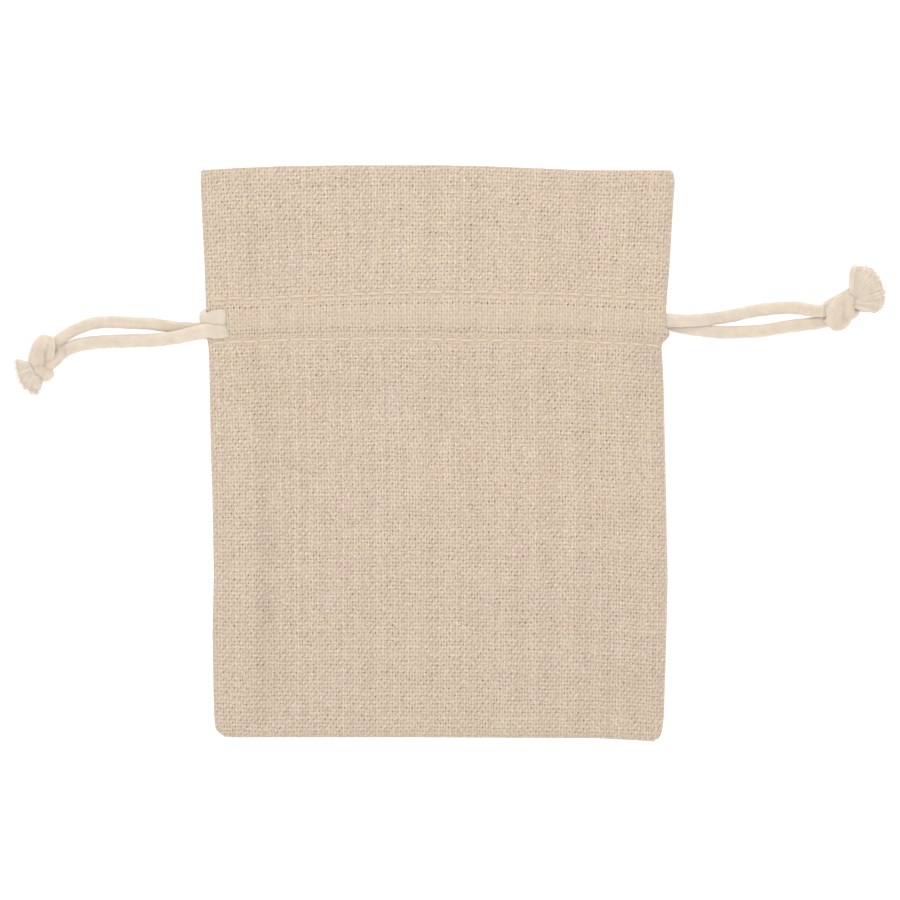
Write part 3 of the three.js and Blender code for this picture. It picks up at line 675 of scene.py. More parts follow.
# Lines across the pouch as (x, y).
BOTTOM = (
    (-0.05, -0.0623), (-0.044, -0.0626), (-0.005, -0.0626), (0.035, -0.0628), (0.043, -0.0632),
    (0.0475, -0.0635), (0.05, -0.0634),
)
STITCH_LOW = (
    (-0.05, 0.024), (-0.046, 0.0242), (-0.03, 0.0248), (-0.01, 0.025), (0.01, 0.0246), (0.027, 0.0245),
    (0.04, 0.0239), (0.05, 0.02335),
)
STITCH_HIGH = (
    (-0.05, 0.0336), (-0.037, 0.0339), (-0.01, 0.035), (0.008, 0.0352), (0.027, 0.0348),
    (0.039, 0.0341), (0.05, 0.0337),
)
MOUTH = (
    (-0.052, 0.0621), (-0.044, 0.0626), (-0.035, 0.063), (-0.02, 0.0632), (0.0, 0.0632), (0.01, 0.063),
    (0.02, 0.0626), (0.032, 0.0621),
)
# Heights as (row, middle, side edge, underside at the side edge).
PROFILE = (
    (-0.0627, 0.0019, 0.0019, 0.0011), (-0.0622, 0.00245, 0.0019, 0.0011),
    (-0.06135, 0.00275, 0.0019, 0.0011), (-0.0605, 0.0029, 0.0019, 0.0011),
    (-0.05, 0.003, 0.0019, 0.0011), (-0.01, 0.003, 0.0019, 0.0011), (0.003, 0.00325, 0.002, 0.0011),
    (0.01, 0.00375, 0.0022, 0.0011), (0.0135, 0.00415, 0.0024, 0.0011),
    (0.0155, 0.0049, 0.0027, 0.0011), (0.019, 0.0063, 0.0039, 0.001), (0.0225, 0.0077, 0.0058, 0.0009),
    (0.0241, 0.0083, 0.007, 0.0006), (0.0247, 0.0085, 0.0076, 0.0006),
    (0.0253, 0.0088, 0.0082, 0.0006), (0.0259, 0.0091, 0.0087, 0.0005),
    (0.0267, 0.0095, 0.0091, 0.0005), (0.0278, 0.0099, 0.0095, 0.0005), (0.029, 0.01, 0.0096, 0.0005),
    (0.0304, 0.0099, 0.0095, 0.0005), (0.0316, 0.0096, 0.0091, 0.0005), (0.0328, 0.0091, 0.0084, 0.0005),
    (0.0339, 0.0085, 0.0073, 0.0006), (0.0347, 0.0081, 0.0065, 0.0008),
    (0.0354, 0.0078, 0.0059, 0.0009), (0.0367, 0.0075, 0.0052, 0.001), (0.041, 0.0066, 0.0042, 0.0011),
    (0.048, 0.0056, 0.0034, 0.0011), (0.056, 0.00495, 0.0029, 0.0011),
    (0.0615, 0.0047, 0.0027, 0.0009), (0.0623, 0.0045, 0.0027, 0.0007),
    (0.0629, 0.0039, 0.0026, 0.0006),
)
# Inside as (row, top of the back's layers, thickness of the front's layers).
HOLLOW = (
    (0.0142, 0.0017, 0.0017), (0.0208, 0.0017, 0.0017), (0.0242, 0.0027, 0.0017),
    (0.0253, 0.0042, 0.0034), (0.0263, 0.004896, 0.004994), (0.0316, 0.004896, 0.004994),
    (0.0328, 0.0042, 0.0037), (0.0342, 0.0028, 0.002), (0.0359, 0.0022, 0.0017),
    (0.0385, 0.0017, 0.0017), (0.066, 0.0017, 0.0017),
)
# Share of the underside's height as (distance from the side edge, share).
UNDER_EDGE = ((0.0, 1.0), (0.00045, 0.3), (0.0012, 0.0))
CLOTH_THICK = 0.00045
HEM_END = 0.0145
HEM_INSET = 0.0013
MOUTH_ROLL = 0.00085
# A layer of the hem takes at most this share of the height between front and back.
LAYER_MOST = 0.47
# Rows where the casing begins and ends, each with the length of its slope.
CASING_FROM = 0.018
CASING_RISES = 0.007
CASING_TO = 0.042
CASING_FALLS = 0.006
# The seam allowances lift the front along both side edges, which are drawn in where they are sewn.
SEAM_WIDTH = 0.0112
SEAM_FALLS = 0.0024
SEAM_RISE = 0.0004
SEAM_PINCH = 0.0006
PINCH_SHARE = 0.12
MOUTH_PINCH = 0.0001
# Waves and creases fade out over these lengths, and the casing takes away this share of the waves.
BOTTOM_FADE = 0.006
MOUTH_FADE = 0.004
CASING_CALM = 0.8
# The side edges are rounded over this width, more where the pouch is tall and less at the casing.
EDGE_ROUND = 0.0017
TALL_FROM = 0.0035
TALL_RISES = 0.003
TALL_ROUNDER = 0.8
CASING_SHARPER = 0.4
# The stitches lift the back off the table and pull the front down at their holes. The weave is calmer in
# a band beside them, a little inside the casing.
STITCH_LIFT = 0.0006
BACK_LIFT = 0.8
STITCH_REACH = 0.0022
STITCH_PITCH = 0.0034
FIRST_HOLE_X = -0.0496
STITCH_PULL = 0.00016
PULL_REACH = 0.0009
CALM_SHIFT = 0.0006
# Rows of the side openings: a notch with soft lips at the left, a gap in the seam at the right.
OPENING = (0.0258, 0.0321)
OPENING_FADE = 0.0008
# Rows closer than this are the same row.
HAIR = 1e-6
NOTCH_X = -0.0457
LIP_WIDTH = 0.0018
LIP_DEPTH = 0.0009
LIP_REACH = 0.0012
NOTCH_DIP = 0.0006
END_DIP = 0.0006
END_REACH = 0.0012
# Past here, towards the right, the hem's inner layer leaves the opening rows free for the cords' turn.
HELD_END_X = 0.0446
# How far the cloth stands out and its yarns run on in the opening's end walls and the bottom fold.
WALL_BULGE = 0.0005
WALL_YARN = 0.002
FOLD_BULGE = 0.00035
FOLD_YARN = 0.0006
FOLD_REACH = 0.00095
# How far the left and the right corner of the mouth are rounded.
CORNER_ROUND = (0.0002, 0.0009)
# Left edge at the openings, width of the cloth between its edges, and the columns of points across it.
LEFT_EDGE_X = -0.0506
CLOTH_WIDTH = 0.1008
COLUMN_STEP = 0.00092
EDGE_COLUMNS = (0.0, 0.00006, 0.0002, 0.00042, 0.00072, 0.0011, 0.0016)
SIDE_STEPS = 3
CREASE_FADE = 0.003
# Each crease wavers to both sides by this much, at this angle a metre; its place sets where it starts.
CREASE_WAVER = 0.0003
WAVER_RATE = 700
WAVER_START = 900
# Creases as (x and y of one end, x and y of the other, width, height: troughs are below nought).
CREASES = (
    (-0.0374, 0.018, -0.0373, -0.022, 0.0016, -0.00042),
    (-0.0373, -0.018, -0.0372, -0.060, 0.0018, -0.00046),
    (-0.0376, -0.030, -0.0377, -0.039, 0.0011, -0.00042),
    (-0.0431, 0.016, -0.0437, -0.059, 0.0026, 0.00012),
    (0.0291, 0.015, 0.0289, -0.024, 0.0010, 0.00032),
    (0.0338, 0.010, 0.0349, -0.018, 0.0018, -0.00020),
    (0.0360, -0.022, 0.0362, -0.058, 0.0040, -0.00024),
    (0.0180, -0.030, 0.0176, -0.041, 0.0030, -0.00024),
    (0.0455, 0.0240, 0.0468, 0.0135, 0.0035, -0.0006),
    (0.0460, -0.040, 0.0470, -0.060, 0.0030, -0.00024),
    (0.0018, 0.020, 0.0015, 0.003, 0.0010, -0.00042),
    (-0.0408, 0.021, -0.0405, 0.014, 0.0012, -0.00030),
    (-0.0356, -0.0028, -0.0262, -0.0040, 0.0010, -0.00045),
    (0.0224, 0.0005, 0.0200, -0.0010, 0.0009, 0.00040),
    (-0.0205, 0.0450, -0.0205, 0.0445, 0.0008, 0.00050),
    (0.0315, 0.057, 0.0308, 0.047, 0.0014, -0.00034),
    (-0.0375, 0.058, -0.0365, 0.038, 0.0075, -0.00016),
    (0.0095, 0.060, 0.0065, 0.040, 0.0030, -0.00012),
    (-0.0365, 0.0146, -0.0150, 0.0148, 0.0006, -0.00025),
    (0.0190, 0.0148, 0.0290, 0.0146, 0.0006, -0.00025),
)


def row_y(row, x):
    """Where a row of the cloth lies at x, once it is moved onto the outline and the stitch lines."""
    keys = list(LINE_ROWS.values())
    shift = 0.0
    for k, (line, key) in enumerate(zip((BOTTOM, STITCH_LOW, STITCH_HIGH, MOUTH), keys)):
        weight = np.interp(row, keys, np.eye(len(keys))[k])
        shift = shift + weight * (read_off(line, x) - key)
    return row + shift


def crease_height(x, y):
    """How far the creases lift or sink the cloth."""
    height = np.zeros(np.broadcast(x, y).shape)
    for x0, y0, x1, y1, width, rise in CREASES:
        length = math.hypot(x1 - x0, y1 - y0)
        ahead = ((x1 - x0) / length, (y1 - y0) / length)
        run = (x - x0) * ahead[0] + (y - y0) * ahead[1]
        off = (x - x0) * ahead[1] - (y - y0) * ahead[0]
        off = off + CREASE_WAVER * np.sin(run * WAVER_RATE + x0 * WAVER_START)
        begun = smooth((run + CREASE_FADE) / (2 * CREASE_FADE))
        ended = smooth((length + CREASE_FADE - run) / (2 * CREASE_FADE))
        height += rise * hump(off, width) * (begun * ended)
    return height


def stitch_nearness(x, y, line):
    """1 on a line of stitches, fading beside it."""
    return hump(y - read_off(line, x), PULL_REACH)


def side_edges(row):
    """Left and right edge of the cloth at a row."""
    return read_off(SIDES, row, 1), read_off(SIDES, row, 2)


def front_height(x, row, side):
    """Height of the front's outside."""
    edge = read_off(PROFILE, row, 2)
    casing = smooth((row - CASING_FROM) / CASING_RISES) * smooth((CASING_TO - row) / CASING_FALLS)
    seam = SEAM_RISE * smooth((SEAM_WIDTH - side) / SEAM_FALLS) * (1 - casing)
    above_bottom = smooth((row - LINE_ROWS["bottom"]) / BOTTOM_FADE)
    ends = above_bottom * smooth((LINE_ROWS["mouth"] - row) / MOUTH_FADE)
    # Three slow waves of soft cloth, each under 0.2 mm high.
    wave = (
        0.00016 * np.sin(x * 160 + 1.1) * np.sin(row * 120 + 0.4)
        + 0.0001 * np.sin(x * 310 - row * 210) + 0.00008 * np.cos(x * 70 + row * 300)
    )
    y = row_y(row, x)
    wave = wave * (1 - CASING_CALM * casing)
    full = read_off(PROFILE, row, 1) + seam + (wave + crease_height(x, y)) * ends
    phase = 0.5 + 0.5 * np.cos(2 * math.pi * (x - FIRST_HOLE_X) / STITCH_PITCH)
    pull = stitch_nearness(x, y, STITCH_LOW) + stitch_nearness(x, y, STITCH_HIGH)
    full = full - STITCH_PULL * pull * phase
    low, high = OPENING
    between = smooth((row - low) / OPENING_FADE) * smooth((high - row) / OPENING_FADE)
    lip = hump(row - low, LIP_WIDTH) + hump(row - high, LIP_WIDTH)
    full = full - LIP_DEPTH * lip * smooth((NOTCH_X - x) / LIP_REACH)
    full = full - NOTCH_DIP * between * smooth((NOTCH_X + LIP_REACH - x) / LIP_REACH)
    rounder = TALL_ROUNDER * smooth((full - TALL_FROM) / TALL_RISES) * (1 - casing)
    reach = EDGE_ROUND * (1 + rounder - CASING_SHARPER * casing)
    t = np.clip(side / reach, 0, 1)
    at_end = (x > 0) * between * smooth(1 - side / END_REACH)
    return edge + (full - edge) * np.sqrt(1 - (1 - t) ** 2) - END_DIP * at_end


def back_height(x, row, side):
    """Height of the back's underside: flat on the table, rounded up at the edges and over the stitches."""
    y = row_y(row, x)
    lifted = np.zeros_like(x)
    for line in (STITCH_LOW, STITCH_HIGH):
        lifted = lifted + STITCH_LIFT * np.clip(1 - np.abs(y - read_off(line, x)) / STITCH_REACH, 0, 1)
    return np.maximum(read_off(PROFILE, row, 3) * read_off(UNDER_EDGE, side), lifted * BACK_LIFT)


def nearest_column(x):
    """The column of points nearest to x, and its place there as a share of the cloth's width."""
    share = (x - LEFT_EDGE_X) / CLOTH_WIDTH
    return int(np.argmin(np.abs(shares - share))), share


def even_rows(low, high, step):
    """Rows at even steps from low up to, but without, high."""
    return np.linspace(low, high, round((high - low) / step) + 1)[:-1]


# Columns of points as shares of the cloth's width, closest at both edges, with one at the notch.
last_inner = CLOTH_WIDTH - EDGE_COLUMNS[-1] - COLUMN_STEP / 2
inner_columns = np.arange(EDGE_COLUMNS[-1] + COLUMN_STEP, last_inner, COLUMN_STEP)
right_columns = CLOTH_WIDTH - np.array(EDGE_COLUMNS[::-1])
shares = np.concatenate((EDGE_COLUMNS, inner_columns, right_columns)) / CLOTH_WIDTH
notch_column, notch_share = nearest_column(NOTCH_X)
shares[notch_column] = notch_share
held_end_column, _ = nearest_column(HELD_END_X)
columns = len(shares)
side_shares = [k / (SIDE_STEPS + 1) for k in range(1, SIDE_STEPS + 1)]

# Rows of points up the outside and down the inside, closest at the folds and in the casing.
outer_rows = np.concatenate((
    [-0.0627, -0.06258, -0.0624, -0.0622, -0.0619, -0.0616, -0.0613],
    even_rows(-0.0609, 0.0213, 0.00108), even_rows(0.0213, OPENING[0], 0.00042),
    even_rows(*OPENING, 0.00042), even_rows(OPENING[1], 0.0372, 0.00042),
    even_rows(0.0372, 0.0613, 0.00105), [0.0613, 0.0617, 0.06205],
))
hem_rows = np.concatenate((
    [0.06205], even_rows(0.0613, 0.0372, -0.0014), even_rows(0.0372, OPENING[1], -0.0007),
    even_rows(OPENING[1], OPENING[0], -0.0007), even_rows(OPENING[0], HEM_END, -0.0011), [HEM_END],
))
roll_angles = np.radians([30, 60, 90, 120, 150])


def side_points(front_edge, back_edge, outward, pinch):
    """Points down the side seam between the front's edge and the back's, drawn in where it is sewn."""
    points = []
    for t in side_shares:
        point = front_edge * (1 - t) + back_edge * t
        point[0] -= outward * pinch * math.sin(t * math.pi)
        points.append(point)
    return points


def ring(x, y, front_level, back_level, lay, pinch):
    """One ring round the pouch: front from left to right, right seam, back from right to left, left seam.

    Its lay holds the place across the flat cloth, the place along it, and how the weave shows: 0 plain,
    towards 1 near stitches and towards -1 on a fold.
    """
    front = np.stack((x, y, front_level), axis=1)
    back = np.stack((x, y, back_level), axis=1)
    lay = np.stack(lay, axis=1)
    right = side_points(front[-1], back[-1], 1, pinch)
    left = side_points(front[0], back[0], -1, pinch)
    seam_length = np.linalg.norm(front[-1] - back[-1])
    depths = [np.array((min(t, 1 - t) * seam_length, 0, 0)) for t in side_shares]
    lay_right = [lay[-1] + depth for depth in depths]
    lay_left = [lay[0] - depth for depth in depths]
    points = np.concatenate((front, right, back[::-1], left[::-1]))
    return points, np.concatenate((lay, lay_right, lay[::-1], lay_left[::-1]))


def yarn_x(x, row):
    """Where a place lies across the flat cloth."""
    left, right = read_off(YARN_SIDES, row, 1), read_off(YARN_SIDES, row, 2)
    return ((x - left) / (right - left) - 0.5) * CLOTH_WIDTH


def row_places(row, left_inset=0.0, right_inset=0.0):
    """Places across the pouch along one row, and how far each is from the nearer outer edge."""
    left, right = side_edges(row)
    left, right = left + left_inset, right - right_inset
    x = left + (right - left) * shares
    return x, np.minimum(x - left + left_inset, right - x + right_inset)


def outer_ring(row):
    """The outside of the cloth at one row."""
    x, side = row_places(row)
    y = row_y(row, x)
    rows = np.full(columns, row)
    front = front_height(x, rows, side)
    back = back_height(x, rows, side)
    # The calm bands lie a little inside the casing's stitch lines.
    shift = CALM_SHIFT * smooth((row - LINE_ROWS["low"]) / CALM_SHIFT)
    shift = shift * smooth((LINE_ROWS["high"] - row) / CALM_SHIFT)
    calm = stitch_nearness(x, y - shift, STITCH_LOW) + stitch_nearness(x, y + CALM_SHIFT, STITCH_HIGH)
    edge = np.minimum(side, min(row - LINE_ROWS["bottom"], LINE_ROWS["mouth"] - row))
    folded = hump(edge, FOLD_REACH)
    lay = (yarn_x(x, row), rows, calm * (1 - folded) - folded)
    return ring(x, y, front, back, lay, min(SEAM_PINCH, PINCH_SHARE * (front[0] - back[0])))


def hem_layers(x, row, side, whole):
    """Heights of the turned-in hem's faces towards the inside, in front and behind."""
    top = front_height(x, whole, side)
    under = back_height(x, whole, side)
    most = LAYER_MOST * (top - under)
    front = top - np.minimum(read_off(HOLLOW, row, 2), most)
    back = under + np.minimum(read_off(HOLLOW, row, 1), most)
    return top, under, front, back


def mouth_ring(angle):
    """The cloth where it turns over the mouth: the outside at 0 degrees, the inside at 180."""
    row = outer_rows[-1]
    turned = HEM_INSET * smooth(2 * angle / math.pi - 1)
    inset = [max(turned, corner * math.sin(min(angle, math.pi / 2)) ** 3) for corner in CORNER_ROUND]
    x, side = row_places(row, *inset)
    rows = np.full(columns, row)
    top, under, front_in, back_in = hem_layers(x, rows, side, rows)
    y = row_y(row, x) + MOUTH_ROLL * math.sin(angle)
    share = (1 - math.cos(angle)) / 2
    lay = (yarn_x(x, row), rows + MOUTH_ROLL * angle, np.full(columns, -math.sin(angle)))
    front = top + (front_in - top) * share
    back = under + (back_in - under) * share
    return ring(x, y, front, back, lay, MOUTH_PINCH)


def hem_ring(row):
    """The turned-in hem's face towards the inside at one row."""
    x, side = row_places(row, HEM_INSET, HEM_INSET)
    rows = np.full(columns, row)
    _, _, front_in, back_in = hem_layers(x, rows, side, rows)
    beyond = 2 * LINE_ROWS["mouth"] - row
    lay = (yarn_x(x, row), np.full(columns, beyond), np.zeros(columns))
    return ring(x, row_y(row, x), front_in, back_in, lay, 0.0)


rings = (
    [outer_ring(row) for row in outer_rows]
    + [mouth_ring(angle) for angle in roll_angles]
    + [hem_ring(row) for row in hem_rows]
)
ring_size = len(rings[0][0])
cloth_points = [point for points, _ in rings for point in points]
cloth_lay = [lay for _, lays in rings for lay in lays]
cloth_faces = []
back_first = columns + SIDE_STEPS
back_last = back_first + columns - 1
ring_rows = np.concatenate((outer_rows, np.full(len(roll_angles), LINE_ROWS["mouth"]), hem_rows))
first_hem = len(outer_rows) + len(roll_angles)


def in_opening(row):
    """Whether a row lies between the ends of the side openings."""
    return OPENING[0] - HAIR < row < OPENING[1] + HAIR


for level in range(len(rings) - 1):
    opening = in_opening(ring_rows[level]) and in_opening(ring_rows[level + 1])
    for place in range(ring_size):
        after = (place + 1) % ring_size
        if opening:
            if columns - 1 <= place < back_first or place >= back_last:
                continue
            column = place if place < columns - 1 else back_last - after
            if column < notch_column or (level >= first_hem and column >= held_end_column):
                continue
        a, b = level * ring_size, (level + 1) * ring_size
        cloth_faces.append((a + place, a + after, b + after, b + place))


def add_point(point, lay):
    """Adds one point to the cloth and gives its number."""
    cloth_points.append(point)
    cloth_lay.append(lay)
    return len(cloth_points) - 1


# The bottom fold joins the front's lowest row to the back's, round a soft edge.
fold_rows = [list(range(columns))]
for k, t in enumerate(side_shares, 1):
    row = [ring_size - k]
    for c in range(1, columns - 1):
        point = cloth_points[c] * (1 - t) + cloth_points[back_last - c] * t
        point[1] -= FOLD_BULGE * math.sin(t * math.pi)
        lay = cloth_lay[c] - np.array((0, FOLD_YARN * math.sin(t * math.pi), 0))
        row.append(add_point(point, lay))
    row.append(columns - 1 + k)
    fold_rows.append(row)
fold_rows.append([back_last - c for c in range(columns)])
for upper, lower in zip(fold_rows, fold_rows[1:]):
    for c in range(columns - 1):
        cloth_faces.append((upper[c], lower[c], lower[c + 1], upper[c + 1]))

# At the side openings the cloth's own edges are turned in, so each shows a soft double edge. Stops as
# (inward, down) from the edge.
NOTCH_ROLL = (
    (-0.00025, 0.00006), (-0.0005, 0.00025), (-0.0006, 0.0006), (-0.0005, 0.00092), (-0.0002, 0.00112),
    (0.0004, 0.00118), (0.0022, 0.00118), (0.0050, 0.00118),
)
SEAM_ROLL = (
    (0.0, 0.00028), (0.0001, 0.00062), (0.0004, 0.00088), (0.0010, 0.00098), (0.0028, 0.00098),
    (0.0050, 0.00098),
)
opening_rings = [k for k, row in enumerate(outer_rows) if in_opening(row)]


def turn_edge(place, roll, inward, down, forward):
    """Turns the cloth's edge at an opening over and in."""
    lines = []
    for level in opening_rings:
        start = level * ring_size + place
        line = [start]
        run = 0.0
        before = (0.0, 0.0)
        for dx, dz in roll:
            run += math.dist((dx, dz), before)
            before = (dx, dz)
            point = cloth_points[start] + np.array((inward * dx, 0.0, down * dz))
            lay = cloth_lay[start] - np.array((inward * run, 0.0, 0.0))
            line.append(add_point(point, lay))
        lines.append(line)
    for low, high in zip(lines, lines[1:]):
        for k in range(len(roll)):
            face = (low[k], low[k + 1], high[k + 1], high[k])
            cloth_faces.append(face if forward else face[::-1])


turn_edge(notch_column, NOTCH_ROLL, 1, -1, False)
turn_edge(back_last - notch_column, NOTCH_ROLL, 1, 1, True)
turn_edge(columns - 1, SEAM_ROLL, -1, -1, True)
turn_edge(back_first, SEAM_ROLL, -1, 1, False)

# At the left opening the seam's ends close the cloth above and below the cords.
for level, upward in ((opening_rings[0], -1), (opening_rings[-1], 1)):
    walls = []
    for c in range(notch_column + 1):
        front = level * ring_size + c
        back = level * ring_size + back_last - c
        line = [front]
        for k, t in enumerate(side_shares, 1):
            if c == 0:
                line.append(level * ring_size + ring_size - k)
                continue
            point = cloth_points[front] * (1 - t) + cloth_points[back] * t
            point[1] += upward * WALL_BULGE * math.sin(t * math.pi)
            lay = cloth_lay[front] - np.array((0.0, upward * WALL_YARN * t, 0.0))
            line.append(add_point(point, lay))
        line.append(back)
        walls.append(line)
    for one, two in zip(walls, walls[1:]):
        for k in range(SIDE_STEPS + 1):
            face = (one[k], two[k], two[k + 1], one[k + 1])
            cloth_faces.append(face if upward > 0 else face[::-1])

LINEN_LIGHT = tone(224, 206, 187)
LINEN_MAIN = tone(203, 185, 166)
LINEN_DARK = tone(183, 163, 144)
# Colour of the shade inside the weave's gaps, painted into the cloth's colour.
LINEN_GAP_SHADE = tone(120, 96, 74)
LINEN_ROSY = tone(254, 253, 255)
LINEN_STRAW = tone(253, 255, 251)
WARP_PITCH = 0.000628
WEFT_PITCH = 0.000863
# Added to the yarns' numbers, so that none is below nought.
YARNS_BEFORE = 400.0
MEAN_SHADE = 0.635


def linen_finish():
    """Plain weave of uneven undyed yarns, with small gaps at the crossings' corners painted dark as shade,
    and painted light and shade on the yarns, the creases and some bands.
    """
    finish, nodes = new_finish("plain_woven_linen")
    lay = add(nodes, "Attribute", attribute_name="lay").outputs["Vector"]
    split = add(nodes, "SeparateXYZ", {"Vector": lay})
    along = split.outputs["Y"]
    stitched = rescale(nodes, split.outputs["Z"], 0.0, 1.0, curve="LINEAR")
    folded = rescale(nodes, split.outputs["Z"], 0.0, -1.0, curve="LINEAR")

    def rows_from(low, low_full, high_full, high):
        """1 for the rows of cloth between two places, and 0 beyond them."""
        rising = rescale(nodes, along, low, low_full)
        return product(nodes, rising, rescale(nodes, along, high, high_full))

    # Bands of the cloth that look a little different, each by its rows; the slope up to the casing and the
    # cloth below the hem's end only get painted light.
    casing = rows_from(0.0270, 0.0282, 0.0318, 0.0326)
    beside_low = rows_from(0.0252, 0.0256, 0.0264, 0.0276)
    beside_high = rows_from(0.0320, 0.0325, 0.0331, 0.0336)
    slope_painted_light = rows_from(0.0128, 0.0160, 0.0243, 0.0251)
    below_hem_painted_light = rows_from(-0.0300, 0.0100, 0.0138, 0.0158)
    # Heights of the creases, painted as shade in their troughs and as light on their ridges.
    crease_painted_shade = add(nodes, "Attribute", attribute_name="crease").outputs["Fac"]
    lay = add(nodes, "CombineXYZ", {"X": split.outputs["X"], "Y": split.outputs["Y"]}).outputs[0]
    # Numbers of the yarns, which sway to both sides.
    sway = add(nodes, "SeparateXYZ", {"Vector": noise(nodes, lay, 170.0, 2.0, output=1)})
    warp = product_plus(nodes, split.outputs["X"], 1 / WARP_PITCH, YARNS_BEFORE)
    warp = product_plus(nodes, sway.outputs["X"], 0.9, warp)
    weft = product_plus(nodes, along, 1 / WEFT_PITCH, YARNS_BEFORE)
    weft = product_plus(nodes, sway.outputs["Y"], 0.9, weft)

    def along_yarn(number, run, apart, start, rate, detail):
        """Soft random change along each yarn, of its own for each yarn."""
        place = add(nodes, "CombineXYZ", {
            "X": product_plus(nodes, number, apart, start),
            "Y": product(nodes, run, rate),
        }).outputs[0]
        return noise(nodes, place, 1.0, detail)

    def yarn(place, run, seed, pairing, fullness):
        """One set of yarns: number, place inside the yarn, height of its rounding, own tone, slubs."""
        number = sums(nodes, "FLOOR", place)
        inside = sums(nodes, "FRACT", place)
        wander = along_yarn(number, run, 7.31, seed, 0.13, 1.0)
        slub = along_yarn(number, run, 5.17, seed + 31.0, 0.42, 2.0)
        seeded = {"W": sums(nodes, "ADD", number, seed)}
        own = add(nodes, "TexWhiteNoise", seeded, noise_dimensions="1D").outputs[0]
        lean = sums(nodes, "COSINE", product(nodes, run, math.pi))
        side = product_plus(nodes, sums(nodes, "MODULO", number, 2.0), -2.0, 1.0)
        middle = product_plus(nodes, wander, 0.34, 0.33)
        middle = product_plus(nodes, product(nodes, lean, side), 0.051, middle)
        middle = product_plus(nodes, side, pairing, middle)
        half = product_plus(nodes, slub, 0.36, fullness)
        off = sums(nodes, "ABSOLUTE", sums(nodes, "SUBTRACT", inside, middle))
        off = sums(nodes, "DIVIDE", off, half)
        left_over = sums(nodes, "SUBTRACT", 1.0, product(nodes, off, off), clamp=True)
        crown = sums(nodes, "SQRT", left_over)
        return number, inside, crown, own, slub

    warp_number, warp_inside, warp_crown, warp_own, warp_slub = yarn(warp, weft, 3.0, 0.03, 0.232)
    weft_number, weft_inside, weft_crown, weft_own, weft_slub = yarn(weft, warp, 57.0, 0.0, 0.36)

    def arch(inside):
        """1 in the middle of the yarn that is crossed, and nought beside it."""
        return sums(nodes, "SINE", product(nodes, inside, math.pi))

    # The warp lies over the weft at every other crossing, where this is 1, and under it at -1.
    parity = sums(nodes, "MODULO", sums(nodes, "ADD", warp_number, weft_number), 2.0)
    warp_over = product_plus(nodes, parity, -2.0, 1.0)
    warp_level = product(nodes, warp_over, arch(weft_inside))
    weft_level = product(nodes, product(nodes, warp_over, arch(warp_inside)), -1.0)
    warp_top = product_plus(nodes, warp_level, 0.36, warp_crown)
    weft_top = product_plus(nodes, weft_level, 0.48, sums(nodes, "SUBTRACT", weft_crown, 0.04))
    weft_top = product_plus(nodes, casing, -0.25, weft_top)
    height = sums(nodes, "MAXIMUM", warp_top, weft_top)
    on_warp = sums(nodes, "GREATER_THAN", warp_top, weft_top)
    weft_own = product_plus(nodes, weft_own, 0.3, 0.35)
    own = add(nodes, "Mix", {0: on_warp, 2: weft_own, 3: warp_own}, data_type="FLOAT").outputs[0]
    slub = add(nodes, "Mix", {0: on_warp, 2: weft_slub, 3: warp_slub}, data_type="FLOAT").outputs[0]
    # Tones of the yarns, from dark over main to light.
    fibre = noise(nodes, lay, 3400.0, 2.0)
    patch = noise(nodes, lay, 90.0, 3.0)
    fleck = noise(nodes, lay, 2150.0, 1.0)
    shade = product(nodes, slub, 0.17)
    for pattern, weight in ((own, 0.10), (fibre, 0.56), (fleck, 0.37), (patch, 0.04)):
        shade = product_plus(nodes, pattern, weight, shade)
    evened = product_plus(nodes, casing, 0.35, product(nodes, stitched, 0.5))
    shade = product_plus(nodes, evened, sums(nodes, "SUBTRACT", MEAN_SHADE, shade), shade)
    yarn_tone = blend_tones(nodes, rescale(nodes, shade, 0.475, 0.655), LINEN_DARK, LINEN_MAIN)
    yarn_tone = blend_tones(nodes, rescale(nodes, shade, 0.615, 0.815), yarn_tone, LINEN_LIGHT)
    # Gaps at the crossings' corners, painted dark as the shade in them, each of its own depth, fewer in
    # dense patches.
    depth = rescale(nodes, height, 0.3, 0.95)
    corner = add(nodes, "CombineXYZ", {
        "X": sums(nodes, "ROUND", warp), "Y": sums(nodes, "ROUND", weft),
    }).outputs[0]
    spot = add(nodes, "TexWhiteNoise", {"Vector": corner}, noise_dimensions="2D").outputs[0]
    darkness = product_plus(nodes, spot, 0.56, 0.42)
    gap_shade = product(nodes, sums(nodes, "SUBTRACT", 1.0, depth), darkness)
    dense = noise(nodes, lay, 330.0, 2.0)
    gap_shade = product(nodes, gap_shade, rescale(nodes, dense, 0.36, 0.62, 0.54, 1.11))
    openness = (
        (stitched, -0.7), (folded, -0.85), (casing, -0.6), (beside_low, 0.9), (beside_high, 0.8),
    )
    for share, opener in openness:
        gap_shade = product(nodes, gap_shade, product_plus(nodes, share, opener, 1.0))
    colour = blend_tones(nodes, gap_shade, yarn_tone, LINEN_GAP_SHADE)
